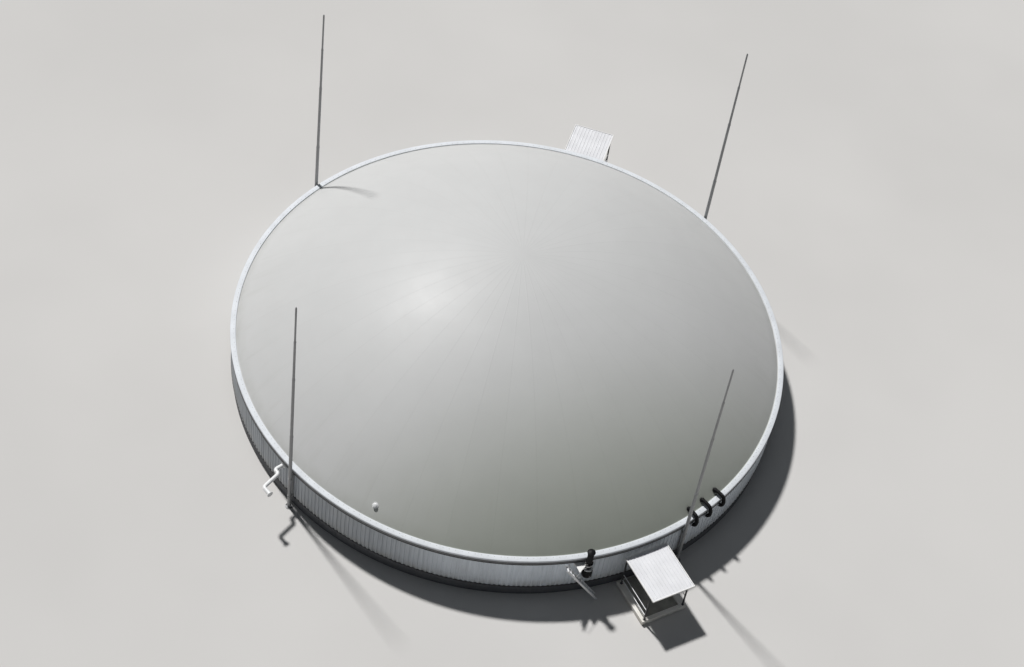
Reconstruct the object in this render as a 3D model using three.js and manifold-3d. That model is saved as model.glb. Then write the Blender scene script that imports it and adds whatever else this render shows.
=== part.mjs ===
// Biogas digester: a round concrete tank with insulated ribbed cladding over a plinth, an air-supported
// membrane roof held by a white clamp rail, lightning masts at the wall, two agitator stations
// under flat canopies, a pressure safety vent, air ducts over the rim and a gas outlet.
// Millimetres, +Z up. The origin is the centre of the underside of the floor slab, at ground level.
import * as THREE from 'three';
import { mergeVertices } from 'three/addons/utils/BufferGeometryUtils.js';
import Module from 'manifold-3d';

const wasm = await Module();
wasm.setup();

// Clearances
const JOINT = 0.3;
const WELD = 0.0005;

// Facets round the tank, and round pipes
const RING_SIDES = 72;
const FACET = 360 / RING_SIDES;
const DOME_RINGS = 12;
const PIPE_SIDES = 16;
const THIN_SIDES = 10;

// Tank
const WALL_INNER = 15000;
const WALL_OUTER = 15220;
const SLAB_THICK = 250;
const WALL_TOP = 3000;
const WALL_QUARTERS = 4;

// Plinth at the foot of the wall, below the cladding
const PLINTH_OUTER = 15330;
const PLINTH_TOP = 720;
const PLINTH_HALVES = 2;

// Cladding: insulation boards behind ribbed sheet
const CLADDING_OUTER = 15360;
const CLADDING_FOOT = PLINTH_TOP + JOINT;
const CLADDING_PANELS = 8;
const SUNK = 40;

// Roof membrane: a spherical cap with a flat hem on the wall head
const DOME_FOOT = 15105;
const DOME_RISE = 6300;
const SHEET = 40;
const HEM_OUTER = 15200;

// Clamp rail: a cap over the hem, with a skirt down over the cladding
const RAIL_INNER = 15137;
const RAIL_OUTER = 15450;
const RAIL_SKIRT = 45;
const RAIL_FOOT = 2780;
const RAIL_TOP_INNER = 3095;
const RAIL_TOP_OUTER = 3075;
const RAIL_ARCS = 4;

// Lightning masts
const MAST_ANGLES = [-142.2, -59, 36, 132];
const MAST_AXIS = 15620;
const MAST_TOP = 15800;
const MAST_FOOT_R = 210;
const MAST_FOOT_H = 25;
const MAST_STAGES = [
  { top: 6000, foot: 98, head: 92 },
  { top: 10500, foot: 82, head: 76 },
  { top: 13300, foot: 66, head: 61 },
];
const MAST_TIP_R = 50;
const MAST_SHOULDER = 120;

// Wall brackets of the masts
const BRACKET_FOOT = 780;
const BRACKET_HEAD = 2600;
const BRACKET_WIDTH = 80;
const BRACKET_PLATE = 12;
const CLAMP_HEIGHTS = [900, 2400];
const CLAMP_R = 140;
const CLAMP_H = 90;
const CLAMP_BAR = 60;

// Agitator stations: kerbed pad, frame, flat roof and drive
const STATION_ANGLES = [-68, 68];
const ROOF_NEAR = 15590;
const ROOF_FAR = 18510;
const ROOF_WIDTH = 2500;
const ROOF_TOP = 2500;
const ROOF_THICK = 80;
const BEAM_H = 100;
const POST = 80;
const POST_SIDE = 1160;
const POST_NEAR = 15700;
const POST_FAR = 18115;
const FOOT_PLATE = 180;
const FOOT_PLATE_H = 12;
const KERB_TOP = 300;
const KERB_WIDTH = 220;
const KERB_SIDE = 340;
const PAD_TOP = 150;
const PAD_NEAR = 15500;
const PAD_FAR = 18240;
const PAD_HALF = 1335;
const HANDRAIL_HEIGHTS = [650, 1100];
const HANDRAIL = 40;
const DRIVE_HEIGHT = 1350;
const DRIVE_TILT = 18;
const DRIVE_PLATE = 640;

// Pressure safety vent, its bracket and the ladder beside it
const VENT_ANGLE = -80.1;
const VENT_AXIS = 15650;
const VENT_R = 160;
const VENT_POT_R = 280;
const VENT_POT_FOOT = 1800;
const VENT_POT_H = 480;
const VENT_TOP = 3760;
const VENT_HOOD_R = 215;
const VENT_HOOD_H = 130;
const VENT_INLET_R = 80;
const VENT_INLET_Z = 1980;
const SHELF_Z = 2680;
const SHELF_THICK = 20;
const SHELF_SIDES = [-690, 160];
const SHELF_NOSE = [16050, -590];
const SHELF_WAIST = [15690, -170];
const SHELF_TONGUE = [15800, -120];
const SHELF_PLATE_H = 220;
const LADDER_ANGLE = -81.7;
const LADDER_NEAR = 15700;
const LADDER_WIDTH = 380;
const LADDER_FOOT_Y = 1110;
const LADDER_HEAD_Y = -830;
const LADDER_TOP = 3000;
const LADDER_STILE = 110;
const LADDER_STILE_THICK = 30;
const LADDER_TREADS = 11;
const LADDER_TIES = [0.42, 0.84];

// Air ducts over the rim and back into the wall below it
const DUCT_ANGLES = [-56.3, -52.6, -48.7];
const DUCT_R = 105;
const DUCT_STEPS = 24;
const DUCT_START = 14900;
const DUCT_CREST = 3330;
const DUCT_DROP = 15610;
const DUCT_Z = 2500;
const DUCT_COLLAR_R = 150;
const DUCT_COLLAR_H = 24;

// Gas outlet: a pipe with three bends, in the frame of its place on the wall
const GAS_ANGLE = -145.4;
const GAS_R = 105;
const GAS_Z = 2500;
const GAS_NEAR = 15930;
const GAS_JOG = 330;
const GAS_FAR = 17060;
const GAS_TURN = 600;
const GAS_END = 1150;
const GAS_BEND = 150;
const GAS_STEPS = 34;
const GAS_COLLAR_R = 175;
const GAS_COLLAR_H = 40;
const GAS_FLANGE_R = 170;
const GAS_FLANGE_H = 26;

// Colours, roughness and metalness
const FINISHES = {
  membrane: { color: 0xc4c5be, roughness: 0.5, metalness: 0 },
  whiteSteel: { color: 0xeceeee, roughness: 0.45, metalness: 0.1 },
  cladding: { color: 0xa2a8ae, roughness: 0.5, metalness: 0.2 },
  plinth: { color: 0x33353a, roughness: 0.75, metalness: 0 },
  concrete: { color: 0xaaa8a1, roughness: 0.9, metalness: 0 },
  mastSteel: { color: 0x84888b, roughness: 0.5, metalness: 0.5 },
  darkSteel: { color: 0x2b2d30, roughness: 0.55, metalness: 0.5 },
  blackPipe: { color: 0x151618, roughness: 0.5, metalness: 0 },
  drivePaint: { color: 0x2e3e48, roughness: 0.5, metalness: 0.3 },
};

// A closed mesh with shared vertices and no collapsed triangles
function welded(geometry) {
  const bare = geometry.clone();
  bare.deleteAttribute('normal');
  bare.deleteAttribute('uv');
  const merged = mergeVertices(bare, WELD);
  const kept = [];
  const index = merged.index.array;
  for (let i = 0; i < index.length; i += 3) {
    const [a, b, c] = [index[i], index[i + 1], index[i + 2]];
    if (a !== b && b !== c && c !== a) {
      kept.push(a, b, c);
    }
  }
  merged.setIndex(kept);
  return merged;
}

function toSolid(geometry) {
  const mesh = welded(geometry);
  return new wasm.Manifold(new wasm.Mesh({
    numProp: 3,
    vertProperties: new Float32Array(mesh.attributes.position.array),
    triVerts: new Uint32Array(mesh.index.array),
  }));
}

function toGeometry(solid) {
  const mesh = solid.getMesh();
  const geometry = new THREE.BufferGeometry();
  geometry.setAttribute('position', new THREE.BufferAttribute(mesh.vertProperties, 3));
  geometry.setIndex(new THREE.BufferAttribute(mesh.triVerts, 1));
  return geometry;
}

function joined(...geometries) {
  let solid = toSolid(geometries[0]);
  for (const geometry of geometries.slice(1)) {
    solid = solid.add(toSolid(geometry));
  }
  return toGeometry(solid);
}

function cut(geometry, ...tools) {
  let solid = toSolid(geometry);
  for (const tool of tools) {
    solid = solid.subtract(toSolid(tool));
  }
  return toGeometry(solid);
}

// A box between two corners
function box(x0, x1, y0, y1, z0, z1) {
  const geometry = new THREE.BoxGeometry(x1 - x0, y1 - y0, z1 - z0);
  return geometry.translate((x0 + x1) / 2, (y0 + y1) / 2, (z0 + z1) / 2);
}

// A round bar between two points
function bar(from, to, radius, sides = PIPE_SIDES) {
  const start = new THREE.Vector3(...from);
  const end = new THREE.Vector3(...to);
  const along = end.clone().sub(start);
  const geometry = new THREE.CylinderGeometry(radius, radius, along.length(), sides);
  const turn = new THREE.Quaternion().setFromUnitVectors(new THREE.Vector3(0, 1, 0), along.normalize());
  geometry.applyQuaternion(turn);
  const middle = start.add(end).multiplyScalar(0.5);
  return geometry.translate(middle.x, middle.y, middle.z);
}

// A profile of [radius, height] points turned all the way round the Z axis
function turned(profile, sides) {
  const points = profile.map(([r, z]) => new THREE.Vector2(r, z));
  return welded(new THREE.LatheGeometry(points, sides).rotateX(Math.PI / 2));
}

// A counter-clockwise profile of [radius, height] points swept between two angles, with flat ends
function arcSolid(profile, startDeg, endDeg, facets) {
  const outline = profile.map(([r, z]) => new THREE.Vector2(r, z));
  const caps = THREE.ShapeUtils.triangulateShape(outline, []);
  const positions = [];
  const index = [];
  const count = profile.length;
  for (let k = 0; k <= facets; k += 1) {
    const angle = THREE.MathUtils.degToRad(startDeg + ((endDeg - startDeg) * k) / facets);
    for (const [r, z] of profile) {
      positions.push(r * Math.cos(angle), r * Math.sin(angle), z);
    }
  }
  for (let k = 0; k < facets; k += 1) {
    for (let i = 0; i < count; i += 1) {
      const j = (i + 1) % count;
      const [near, nearNext] = [k * count + i, k * count + j];
      const [far, farNext] = [near + count, nearNext + count];
      index.push(near, far, farNext, near, farNext, nearNext);
    }
  }
  for (const [a, b, c] of caps) {
    const last = facets * count;
    index.push(a, b, c, last + c, last + b, last + a);
  }
  const geometry = new THREE.BufferGeometry();
  geometry.setAttribute('position', new THREE.Float32BufferAttribute(positions, 3));
  geometry.setIndex(index);
  return geometry;
}

// One of several equal arcs of a ring, with half a joint left open at each end
function ringPart(profile, part, parts, radius) {
  const span = 360 / parts;
  const gap = THREE.MathUtils.radToDeg(JOINT / 2 / radius);
  return arcSolid(profile, part * span + gap, (part + 1) * span - gap, RING_SIDES / parts);
}

// The cladding's outermost reach in a frame turned to an angle, behind a pad of some width
function claddingSeat(angleDeg, low, high) {
  const sides = [low, high];
  const first = Math.floor(angleDeg / FACET) - 1;
  for (let k = first; k <= first + 3; k += 1) {
    const corner = CLADDING_OUTER * Math.sin(THREE.MathUtils.degToRad(k * FACET - angleDeg));
    if (corner > low && corner < high) {
      sides.push(corner);
    }
  }
  const reaches = sides.map((side) => {
    const at = angleDeg + THREE.MathUtils.radToDeg(Math.asin(side / CLADDING_OUTER));
    const middle = (Math.floor(at / FACET) + 0.5) * FACET;
    const lean = THREE.MathUtils.degToRad(middle - angleDeg);
    const apothem = CLADDING_OUTER * Math.cos(THREE.MathUtils.degToRad(FACET / 2));
    return (apothem - side * Math.sin(lean)) / Math.cos(lean);
  });
  return Math.max(...reaches) + JOINT;
}

// A fitting whose back is trimmed to follow the facets of the cladding
function seated(geometry, angleDeg) {
  const turn = THREE.MathUtils.degToRad(angleDeg);
  const wall = turned([
    [0, CLADDING_FOOT],
    [CLADDING_OUTER + JOINT, CLADDING_FOOT],
    [CLADDING_OUTER + JOINT, WALL_TOP],
    [0, WALL_TOP],
  ], RING_SIDES);
  return cut(geometry.rotateZ(turn), wall).rotateZ(-turn);
}

// Sphere of the roof: its radius, and the height of its centre
const SPHERE_R = (DOME_FOOT ** 2 + DOME_RISE ** 2) / (2 * DOME_RISE);
const SPHERE_Z = WALL_TOP + SHEET + DOME_RISE - SPHERE_R;

function domeArc(radius, low, lift = 0) {
  const full = Math.asin(Math.min(1, low / radius));
  const points = [];
  for (let k = 0; k <= DOME_RINGS; k += 1) {
    const angle = (full * k) / DOME_RINGS;
    points.push([radius * Math.sin(angle), SPHERE_Z + lift + radius * Math.cos(angle)]);
  }
  return points;
}

function roofMembrane() {
  const inner = domeArc(SPHERE_R - SHEET, DOME_FOOT - SHEET);
  const outer = domeArc(SPHERE_R, DOME_FOOT).reverse();
  const innerFoot = inner[inner.length - 1][0];
  return turned([
    ...inner,
    [innerFoot, WALL_TOP],
    [HEM_OUTER, WALL_TOP],
    [HEM_OUTER, WALL_TOP + SHEET],
    ...outer,
  ], RING_SIDES);
}

// All the space under the membrane's outer face, to trim what is seated on it
function underRoof() {
  const outer = domeArc(SPHERE_R, DOME_FOOT, 2 * JOINT).reverse();
  return turned([[0, 0], [DOME_FOOT, 0], ...outer], RING_SIDES);
}

function floorSlab() {
  return turned([[0, 0], [WALL_OUTER, 0], [WALL_OUTER, SLAB_THICK], [0, SLAB_THICK]], RING_SIDES);
}

function wallQuarter(part) {
  const profile = [
    [WALL_INNER, SLAB_THICK],
    [WALL_OUTER, SLAB_THICK],
    [WALL_OUTER, WALL_TOP],
    [WALL_INNER, WALL_TOP],
  ];
  return ringPart(profile, part, WALL_QUARTERS, WALL_INNER);
}

function plinthHalf(part) {
  const profile = [
    [WALL_OUTER + JOINT, 0],
    [PLINTH_OUTER, 0],
    [PLINTH_OUTER, PLINTH_TOP],
    [WALL_OUTER + JOINT, PLINTH_TOP],
  ];
  return ringPart(profile, part, PLINTH_HALVES, WALL_OUTER);
}

function claddingPanel(part) {
  const back = WALL_OUTER + JOINT;
  const profile = [
    [back, CLADDING_FOOT],
    [CLADDING_OUTER, CLADDING_FOOT],
    [CLADDING_OUTER, WALL_TOP],
    [back, WALL_TOP],
  ];
  return ringPart(profile, part, CLADDING_PANELS, WALL_OUTER);
}

function railArc(part) {
  const step = HEM_OUTER + 10;
  const skirtInner = RAIL_OUTER - RAIL_SKIRT;
  const hemTop = WALL_TOP + SHEET + JOINT;
  const profile = [
    [RAIL_INNER, hemTop],
    [step, hemTop],
    [step, WALL_TOP + JOINT],
    [skirtInner, WALL_TOP + JOINT],
    [skirtInner, RAIL_FOOT],
    [RAIL_OUTER, RAIL_FOOT],
    [RAIL_OUTER, RAIL_TOP_OUTER],
    [RAIL_INNER, RAIL_TOP_INNER],
  ];
  return ringPart(profile, part, RAIL_ARCS, RAIL_INNER);
}

function mastRadius(height) {
  let foot = MAST_FOOT_H;
  for (const stage of MAST_STAGES) {
    if (height <= stage.top) {
      return THREE.MathUtils.mapLinear(height, foot, stage.top, stage.foot, stage.head);
    }
    foot = stage.top + MAST_SHOULDER;
  }
  return MAST_TIP_R;
}

function lightningMast() {
  const profile = [[0, 0], [MAST_FOOT_R, 0], [MAST_FOOT_R, MAST_FOOT_H]];
  let foot = MAST_FOOT_H;
  for (const stage of MAST_STAGES) {
    profile.push([stage.foot, foot], [stage.head, stage.top]);
    foot = stage.top + MAST_SHOULDER;
  }
  profile.push([MAST_TIP_R, foot], [MAST_TIP_R, MAST_TOP - 2 * MAST_TIP_R], [0, MAST_TOP]);
  return turned(profile, THIN_SIDES).translate(MAST_AXIS, 0, 0);
}

// A channel on the cladding with two arms and collars that hold the mast
function mastBracket(angleDeg) {
  const half = BRACKET_WIDTH / 2;
  const face = claddingSeat(angleDeg, -half, half);
  const pieces = [box(face - SUNK, face + BRACKET_PLATE, -half, half, BRACKET_FOOT, BRACKET_HEAD)];
  const bores = [];
  for (const height of CLAMP_HEIGHTS) {
    const [low, high] = [height - CLAMP_H / 2, height + CLAMP_H / 2];
    const bore = mastRadius(height) + 2;
    pieces.push(box(face, MAST_AXIS, -CLAMP_BAR / 2, CLAMP_BAR / 2, low, high));
    pieces.push(bar([MAST_AXIS, 0, low], [MAST_AXIS, 0, high], CLAMP_R));
    bores.push(bar([MAST_AXIS, 0, low - 1], [MAST_AXIS, 0, high + 1], bore));
  }
  return seated(cut(joined(...pieces), ...bores), angleDeg);
}

// A concrete pad with a kerb on its three outer sides
function stationPad() {
  const block = box(PAD_NEAR, PAD_FAR, -PAD_HALF, PAD_HALF, 0, KERB_TOP);
  const side = PAD_HALF - KERB_SIDE;
  const well = box(PAD_NEAR - 10, PAD_FAR - KERB_WIDTH, -side, side, PAD_TOP, KERB_TOP + 10);
  return cut(block, well);
}

// Four posts on the kerb, the beams under the roof and handrails along both sides
function stationFrame() {
  const side = POST_SIDE;
  const rows = [POST_NEAR, POST_FAR];
  const beamTop = ROOF_TOP - ROOF_THICK - JOINT;
  const footLow = KERB_TOP + JOINT;
  const beamLow = beamTop - BEAM_H;
  const half = POST / 2;
  const pieces = [];
  for (const x of rows) {
    pieces.push(box(x - half, x + half, -side - half, side + half, beamLow, beamTop));
    for (const y of [-side, side]) {
      const plate = FOOT_PLATE / 2 - (FOOT_PLATE - POST) / 4;
      pieces.push(box(x - half, x + half, y - half, y + half, footLow, beamTop));
      pieces.push(box(x - plate, x + plate, y - plate, y + plate, footLow, footLow + FOOT_PLATE_H));
    }
  }
  for (const y of [-side, side]) {
    pieces.push(box(rows[0], rows[1], y - half, y + half, beamLow, beamTop));
    for (const height of HANDRAIL_HEIGHTS) {
      pieces.push(bar([rows[0], y, height], [rows[1], y, height], HANDRAIL / 2, THIN_SIDES));
    }
  }
  const middle = (rows[0] + rows[1]) / 2;
  pieces.push(box(middle - half, middle + half, -side, side, beamLow, beamTop));
  return joined(...pieces);
}

function stationRoof() {
  const half = ROOF_WIDTH / 2;
  return box(ROOF_NEAR, ROOF_FAR, -half, half, ROOF_TOP - ROOF_THICK, ROOF_TOP);
}

// Wall plate, bearing tube, gear case and motor in line on a tilted shaft, with a stand under the motor
function agitatorDrive(angleDeg) {
  const half = DRIVE_PLATE / 2;
  const face = claddingSeat(angleDeg, -half, half);
  const tilt = THREE.MathUtils.degToRad(DRIVE_TILT);
  const along = (distance) => [
    face + 20 + distance * Math.cos(tilt),
    0,
    DRIVE_HEIGHT + distance * Math.sin(tilt),
  ];
  const stand = along(1230);
  const standHalf = 50;
  const standFoot = 150;
  const standLow = PAD_TOP + JOINT;
  return seated(joined(
    box(face - SUNK, face + 40, -half, half, DRIVE_HEIGHT - half, DRIVE_HEIGHT + half),
    bar(along(40), along(520), 150),
    bar(along(440), along(520), 240),
    bar(along(500), along(830), 215),
    bar(along(800), along(1500), 165),
    bar(along(1480), along(1680), 185),
    box(stand[0] - standHalf, stand[0] + standHalf, -standHalf, standHalf, standLow, stand[2]),
    box(stand[0] - standFoot, stand[0] + standFoot, -standFoot, standFoot, standLow, standLow + 20),
  ), angleDeg);
}

// A hydraulic pot with its riser, rain hood and the inlet from the gas space
function safetyVent() {
  const face = claddingSeat(VENT_ANGLE, -VENT_INLET_R * 2, VENT_INLET_R * 2);
  const riser = turned([
    [0, VENT_POT_FOOT],
    [VENT_POT_R * 0.7, VENT_POT_FOOT],
    [VENT_POT_R, VENT_POT_FOOT + 60],
    [VENT_POT_R, VENT_POT_FOOT + VENT_POT_H],
    [VENT_R, VENT_POT_FOOT + VENT_POT_H + 70],
    [VENT_R, VENT_TOP],
    [VENT_HOOD_R, VENT_TOP],
    [VENT_HOOD_R, VENT_TOP + VENT_HOOD_H / 3],
    [0, VENT_TOP + VENT_HOOD_H],
  ], PIPE_SIDES).translate(VENT_AXIS, 0, 0);
  return seated(joined(
    riser,
    bar([face, 0, VENT_INLET_Z], [VENT_AXIS, 0, VENT_INLET_Z], VENT_INLET_R),
    bar([face - SUNK, 0, VENT_INLET_Z], [face + 24, 0, VENT_INLET_Z], VENT_INLET_R * 2),
  ), VENT_ANGLE);
}

// A wall plate with a pointed shelf whose collar carries the riser
function ventBracket() {
  const [low, high] = SHELF_SIDES;
  const face = claddingSeat(VENT_ANGLE, low, high);
  const outline = new THREE.Shape([
    new THREE.Vector2(face - SUNK, low),
    new THREE.Vector2(...SHELF_NOSE),
    new THREE.Vector2(...SHELF_WAIST),
    new THREE.Vector2(...SHELF_TONGUE),
    new THREE.Vector2(SHELF_TONGUE[0], high),
    new THREE.Vector2(face - SUNK, high),
  ]);
  const shelf = new THREE.ExtrudeGeometry(outline, { depth: SHELF_THICK, bevelEnabled: false });
  const riser = bar([VENT_AXIS, 0, 0], [VENT_AXIS, 0, VENT_TOP], VENT_R + JOINT + 1);
  return seated(cut(joined(
    shelf.translate(0, 0, SHELF_Z),
    box(face - SUNK, face + 14, low, high, SHELF_Z - SHELF_PLATE_H, SHELF_Z + SHELF_THICK),
    bar([VENT_AXIS, 0, SHELF_Z - 60], [VENT_AXIS, 0, SHELF_Z + SHELF_THICK + 40], VENT_R + 22),
  ), riser), VENT_ANGLE);
}

// A steep ladder along the wall: two stiles, flat treads and two ties to the cladding
function serviceLadder() {
  const run = LADDER_HEAD_Y - LADDER_FOOT_Y;
  const lean = Math.atan2(LADDER_TOP, run);
  const reach = LADDER_STILE / 2 / Math.sin(lean);
  const foot = LADDER_FOOT_Y;
  const head = LADDER_HEAD_Y;
  const pieces = [];
  for (const x of [LADDER_NEAR, LADDER_NEAR + LADDER_WIDTH - LADDER_STILE_THICK]) {
    const outline = new THREE.Shape([
      new THREE.Vector2(foot - reach, 0),
      new THREE.Vector2(foot + reach, 0),
      new THREE.Vector2(head + reach, LADDER_TOP),
      new THREE.Vector2(head - reach, LADDER_TOP),
    ]);
    const stile = new THREE.ExtrudeGeometry(outline, { depth: LADDER_STILE_THICK, bevelEnabled: false });
    stile.rotateX(Math.PI / 2).rotateZ(Math.PI / 2).translate(x, 0, 0);
    pieces.push(stile);
  }
  for (let k = 1; k <= LADDER_TREADS; k += 1) {
    const share = k / (LADDER_TREADS + 0.6);
    const [y, z] = [foot + run * share, LADDER_TOP * share];
    pieces.push(box(LADDER_NEAR + 5, LADDER_NEAR + LADDER_WIDTH - 5, y - 45, y + 45, z - 12, z + 12));
  }
  for (const share of LADDER_TIES) {
    const [y, z] = [foot + run * share, LADDER_TOP * share];
    const seat = claddingSeat(LADDER_ANGLE, y - 25, y + 25);
    pieces.push(box(seat - SUNK, LADDER_NEAR + 10, y - 25, y + 25, z - 25, z + 25));
  }
  return seated(joined(...pieces), LADDER_ANGLE);
}

// A duct from the membrane over the rail, down past its foot and into the wall
function airDuct(angleDeg) {
  const height = SPHERE_Z + Math.sqrt(SPHERE_R ** 2 - DUCT_START ** 2);
  const face = claddingSeat(angleDeg, -DUCT_COLLAR_R, DUCT_COLLAR_R);
  const path = new THREE.CatmullRomCurve3([
    new THREE.Vector3(DUCT_START - 60, 0, height - 80),
    new THREE.Vector3(DUCT_START + 60, 0, height + 70),
    new THREE.Vector3(DUCT_START + 330, 0, DUCT_CREST - 10),
    new THREE.Vector3(DUCT_DROP - 110, 0, DUCT_CREST - 80),
    new THREE.Vector3(DUCT_DROP, 0, DUCT_CREST - 330),
    new THREE.Vector3(DUCT_DROP, 0, DUCT_Z + 240),
    new THREE.Vector3(DUCT_DROP - 65, 0, DUCT_Z + 70),
    new THREE.Vector3(DUCT_DROP - 180, 0, DUCT_Z),
    new THREE.Vector3(face - SUNK, 0, DUCT_Z),
  ]);
  const section = new THREE.Shape().absarc(0, 0, DUCT_R, 0, 2 * Math.PI, false);
  const tube = new THREE.ExtrudeGeometry(section, {
    extrudePath: path,
    steps: DUCT_STEPS,
    curveSegments: 6,
    bevelEnabled: false,
  });
  const turn = THREE.MathUtils.degToRad(angleDeg);
  const collar = bar([face - SUNK, 0, DUCT_Z], [face + DUCT_COLLAR_H, 0, DUCT_Z], DUCT_COLLAR_R);
  return seated(cut(joined(tube, collar).rotateZ(turn), underRoof()).rotateZ(-turn), angleDeg);
}

// A route of straight lengths with rounded corners
function roundedRoute(corners, radius) {
  const route = new THREE.CurvePath();
  let start = corners[0];
  for (let k = 1; k < corners.length - 1; k += 1) {
    const corner = corners[k];
    const before = corners[k - 1].clone().sub(corner).setLength(radius).add(corner);
    const after = corners[k + 1].clone().sub(corner).setLength(radius).add(corner);
    route.add(new THREE.LineCurve3(start, before));
    route.add(new THREE.QuadraticBezierCurve3(before, corner, after));
    start = after;
  }
  route.add(new THREE.LineCurve3(start, corners[corners.length - 1]));
  return route;
}

// A flanged pipe that leaves the wall, jogs past the mast and turns along the tank
function gasOutlet() {
  const face = claddingSeat(GAS_ANGLE, -GAS_COLLAR_R, GAS_COLLAR_R);
  const corners = [[face, 0], [GAS_NEAR, 0], [GAS_NEAR, GAS_JOG], [GAS_FAR, GAS_TURN], [GAS_FAR, GAS_END]];
  const route = roundedRoute(corners.map(([x, y]) => new THREE.Vector3(x, y, GAS_Z)), GAS_BEND);
  const section = new THREE.Shape().absarc(0, 0, GAS_R, 0, 2 * Math.PI, false);
  const pipe = new THREE.ExtrudeGeometry(section, {
    extrudePath: route,
    steps: GAS_STEPS,
    curveSegments: 6,
    bevelEnabled: false,
  });
  return seated(joined(
    pipe,
    bar([face - SUNK, 0, GAS_Z], [face + GAS_COLLAR_H, 0, GAS_Z], GAS_COLLAR_R),
    bar([GAS_FAR, GAS_END, GAS_Z], [GAS_FAR, GAS_END + GAS_FLANGE_H, GAS_Z], GAS_FLANGE_R),
  ), GAS_ANGLE);
}

const digester = new THREE.Group();

function place(name, geometry, finish, angleDeg = 0) {
  const material = new THREE.MeshStandardMaterial(FINISHES[finish]);
  const mesh = new THREE.Mesh(geometry, material);
  mesh.name = name;
  mesh.rotation.z = THREE.MathUtils.degToRad(angleDeg);
  digester.add(mesh);
}

place('floor_slab', floorSlab(), 'concrete');
for (let part = 0; part < WALL_QUARTERS; part += 1) {
  place(`tank_wall_${part + 1}`, wallQuarter(part), 'concrete');
}
for (let part = 0; part < PLINTH_HALVES; part += 1) {
  place(`wall_plinth_${part + 1}`, plinthHalf(part), 'plinth');
}
for (let part = 0; part < CLADDING_PANELS; part += 1) {
  place(`wall_cladding_${part + 1}`, claddingPanel(part), 'cladding');
}
place('roof_membrane', roofMembrane(), 'membrane');
for (let part = 0; part < RAIL_ARCS; part += 1) {
  place(`clamp_rail_${part + 1}`, railArc(part), 'whiteSteel');
}
MAST_ANGLES.forEach((angle, k) => {
  place(`lightning_mast_${k + 1}`, lightningMast(), 'mastSteel', angle);
  place(`mast_bracket_${k + 1}`, mastBracket(angle), 'mastSteel', angle);
});
STATION_ANGLES.forEach((angle, k) => {
  place(`station_pad_${k + 1}`, stationPad(), 'concrete', angle);
  place(`station_frame_${k + 1}`, stationFrame(), 'darkSteel', angle);
  place(`station_roof_${k + 1}`, stationRoof(), 'whiteSteel', angle);
  place(`agitator_drive_${k + 1}`, agitatorDrive(angle), 'drivePaint', angle);
});
place('safety_vent', safetyVent(), 'blackPipe', VENT_ANGLE);
place('vent_bracket', ventBracket(), 'whiteSteel', VENT_ANGLE);
place('service_ladder', serviceLadder(), 'whiteSteel', LADDER_ANGLE);
DUCT_ANGLES.forEach((angle, k) => {
  place(`air_duct_${k + 1}`, airDuct(angle), 'blackPipe', angle);
});
place('gas_outlet', gasOutlet(), 'whiteSteel', GAS_ANGLE);

export default digester;
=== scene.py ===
"""A biogas digester in a plain studio.

A round concrete tank in ribbed sheeting carries an air-supported membrane under a white clamp
rail. Lightning masts, two agitator stations, a safety vent, a ladder, air ducts and a gas pipe
stand at its wall. Every piece is built in metres round the tank's own axis.
"""

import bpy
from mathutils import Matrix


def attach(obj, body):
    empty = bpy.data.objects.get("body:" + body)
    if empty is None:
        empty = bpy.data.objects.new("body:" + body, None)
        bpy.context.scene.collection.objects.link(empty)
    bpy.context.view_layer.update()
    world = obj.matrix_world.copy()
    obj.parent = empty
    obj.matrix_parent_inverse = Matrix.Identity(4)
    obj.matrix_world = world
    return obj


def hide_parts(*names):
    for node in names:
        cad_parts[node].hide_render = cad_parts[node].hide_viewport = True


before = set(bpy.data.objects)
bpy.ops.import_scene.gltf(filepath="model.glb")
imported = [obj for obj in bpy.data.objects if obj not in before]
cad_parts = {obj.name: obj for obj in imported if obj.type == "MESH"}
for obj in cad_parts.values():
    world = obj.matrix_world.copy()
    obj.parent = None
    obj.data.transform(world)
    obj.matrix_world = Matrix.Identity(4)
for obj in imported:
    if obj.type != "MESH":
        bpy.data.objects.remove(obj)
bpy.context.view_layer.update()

import copy
import functools
import logging
from collections.abc import Callable, Iterable, Sequence
from dataclasses import dataclass
from enum import Enum
from math import atan2, cos, degrees, hypot, pi, radians, sin, sqrt, tau

import bmesh
import bpy
from mathutils import Matrix, Vector, noise

LOG = logging.getLogger("digester")

Point = Sequence[float]
Outline = Sequence[Point]
Colour = tuple[float, float, float]
Socket = bpy.types.NodeSocket
Feed = float | Sequence[float] | Socket | None

SHARP = radians(32)
PLAIN_TONE = 0.5
OUT = (1, 0, 0)
UP = (0, 0, 1)


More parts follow.
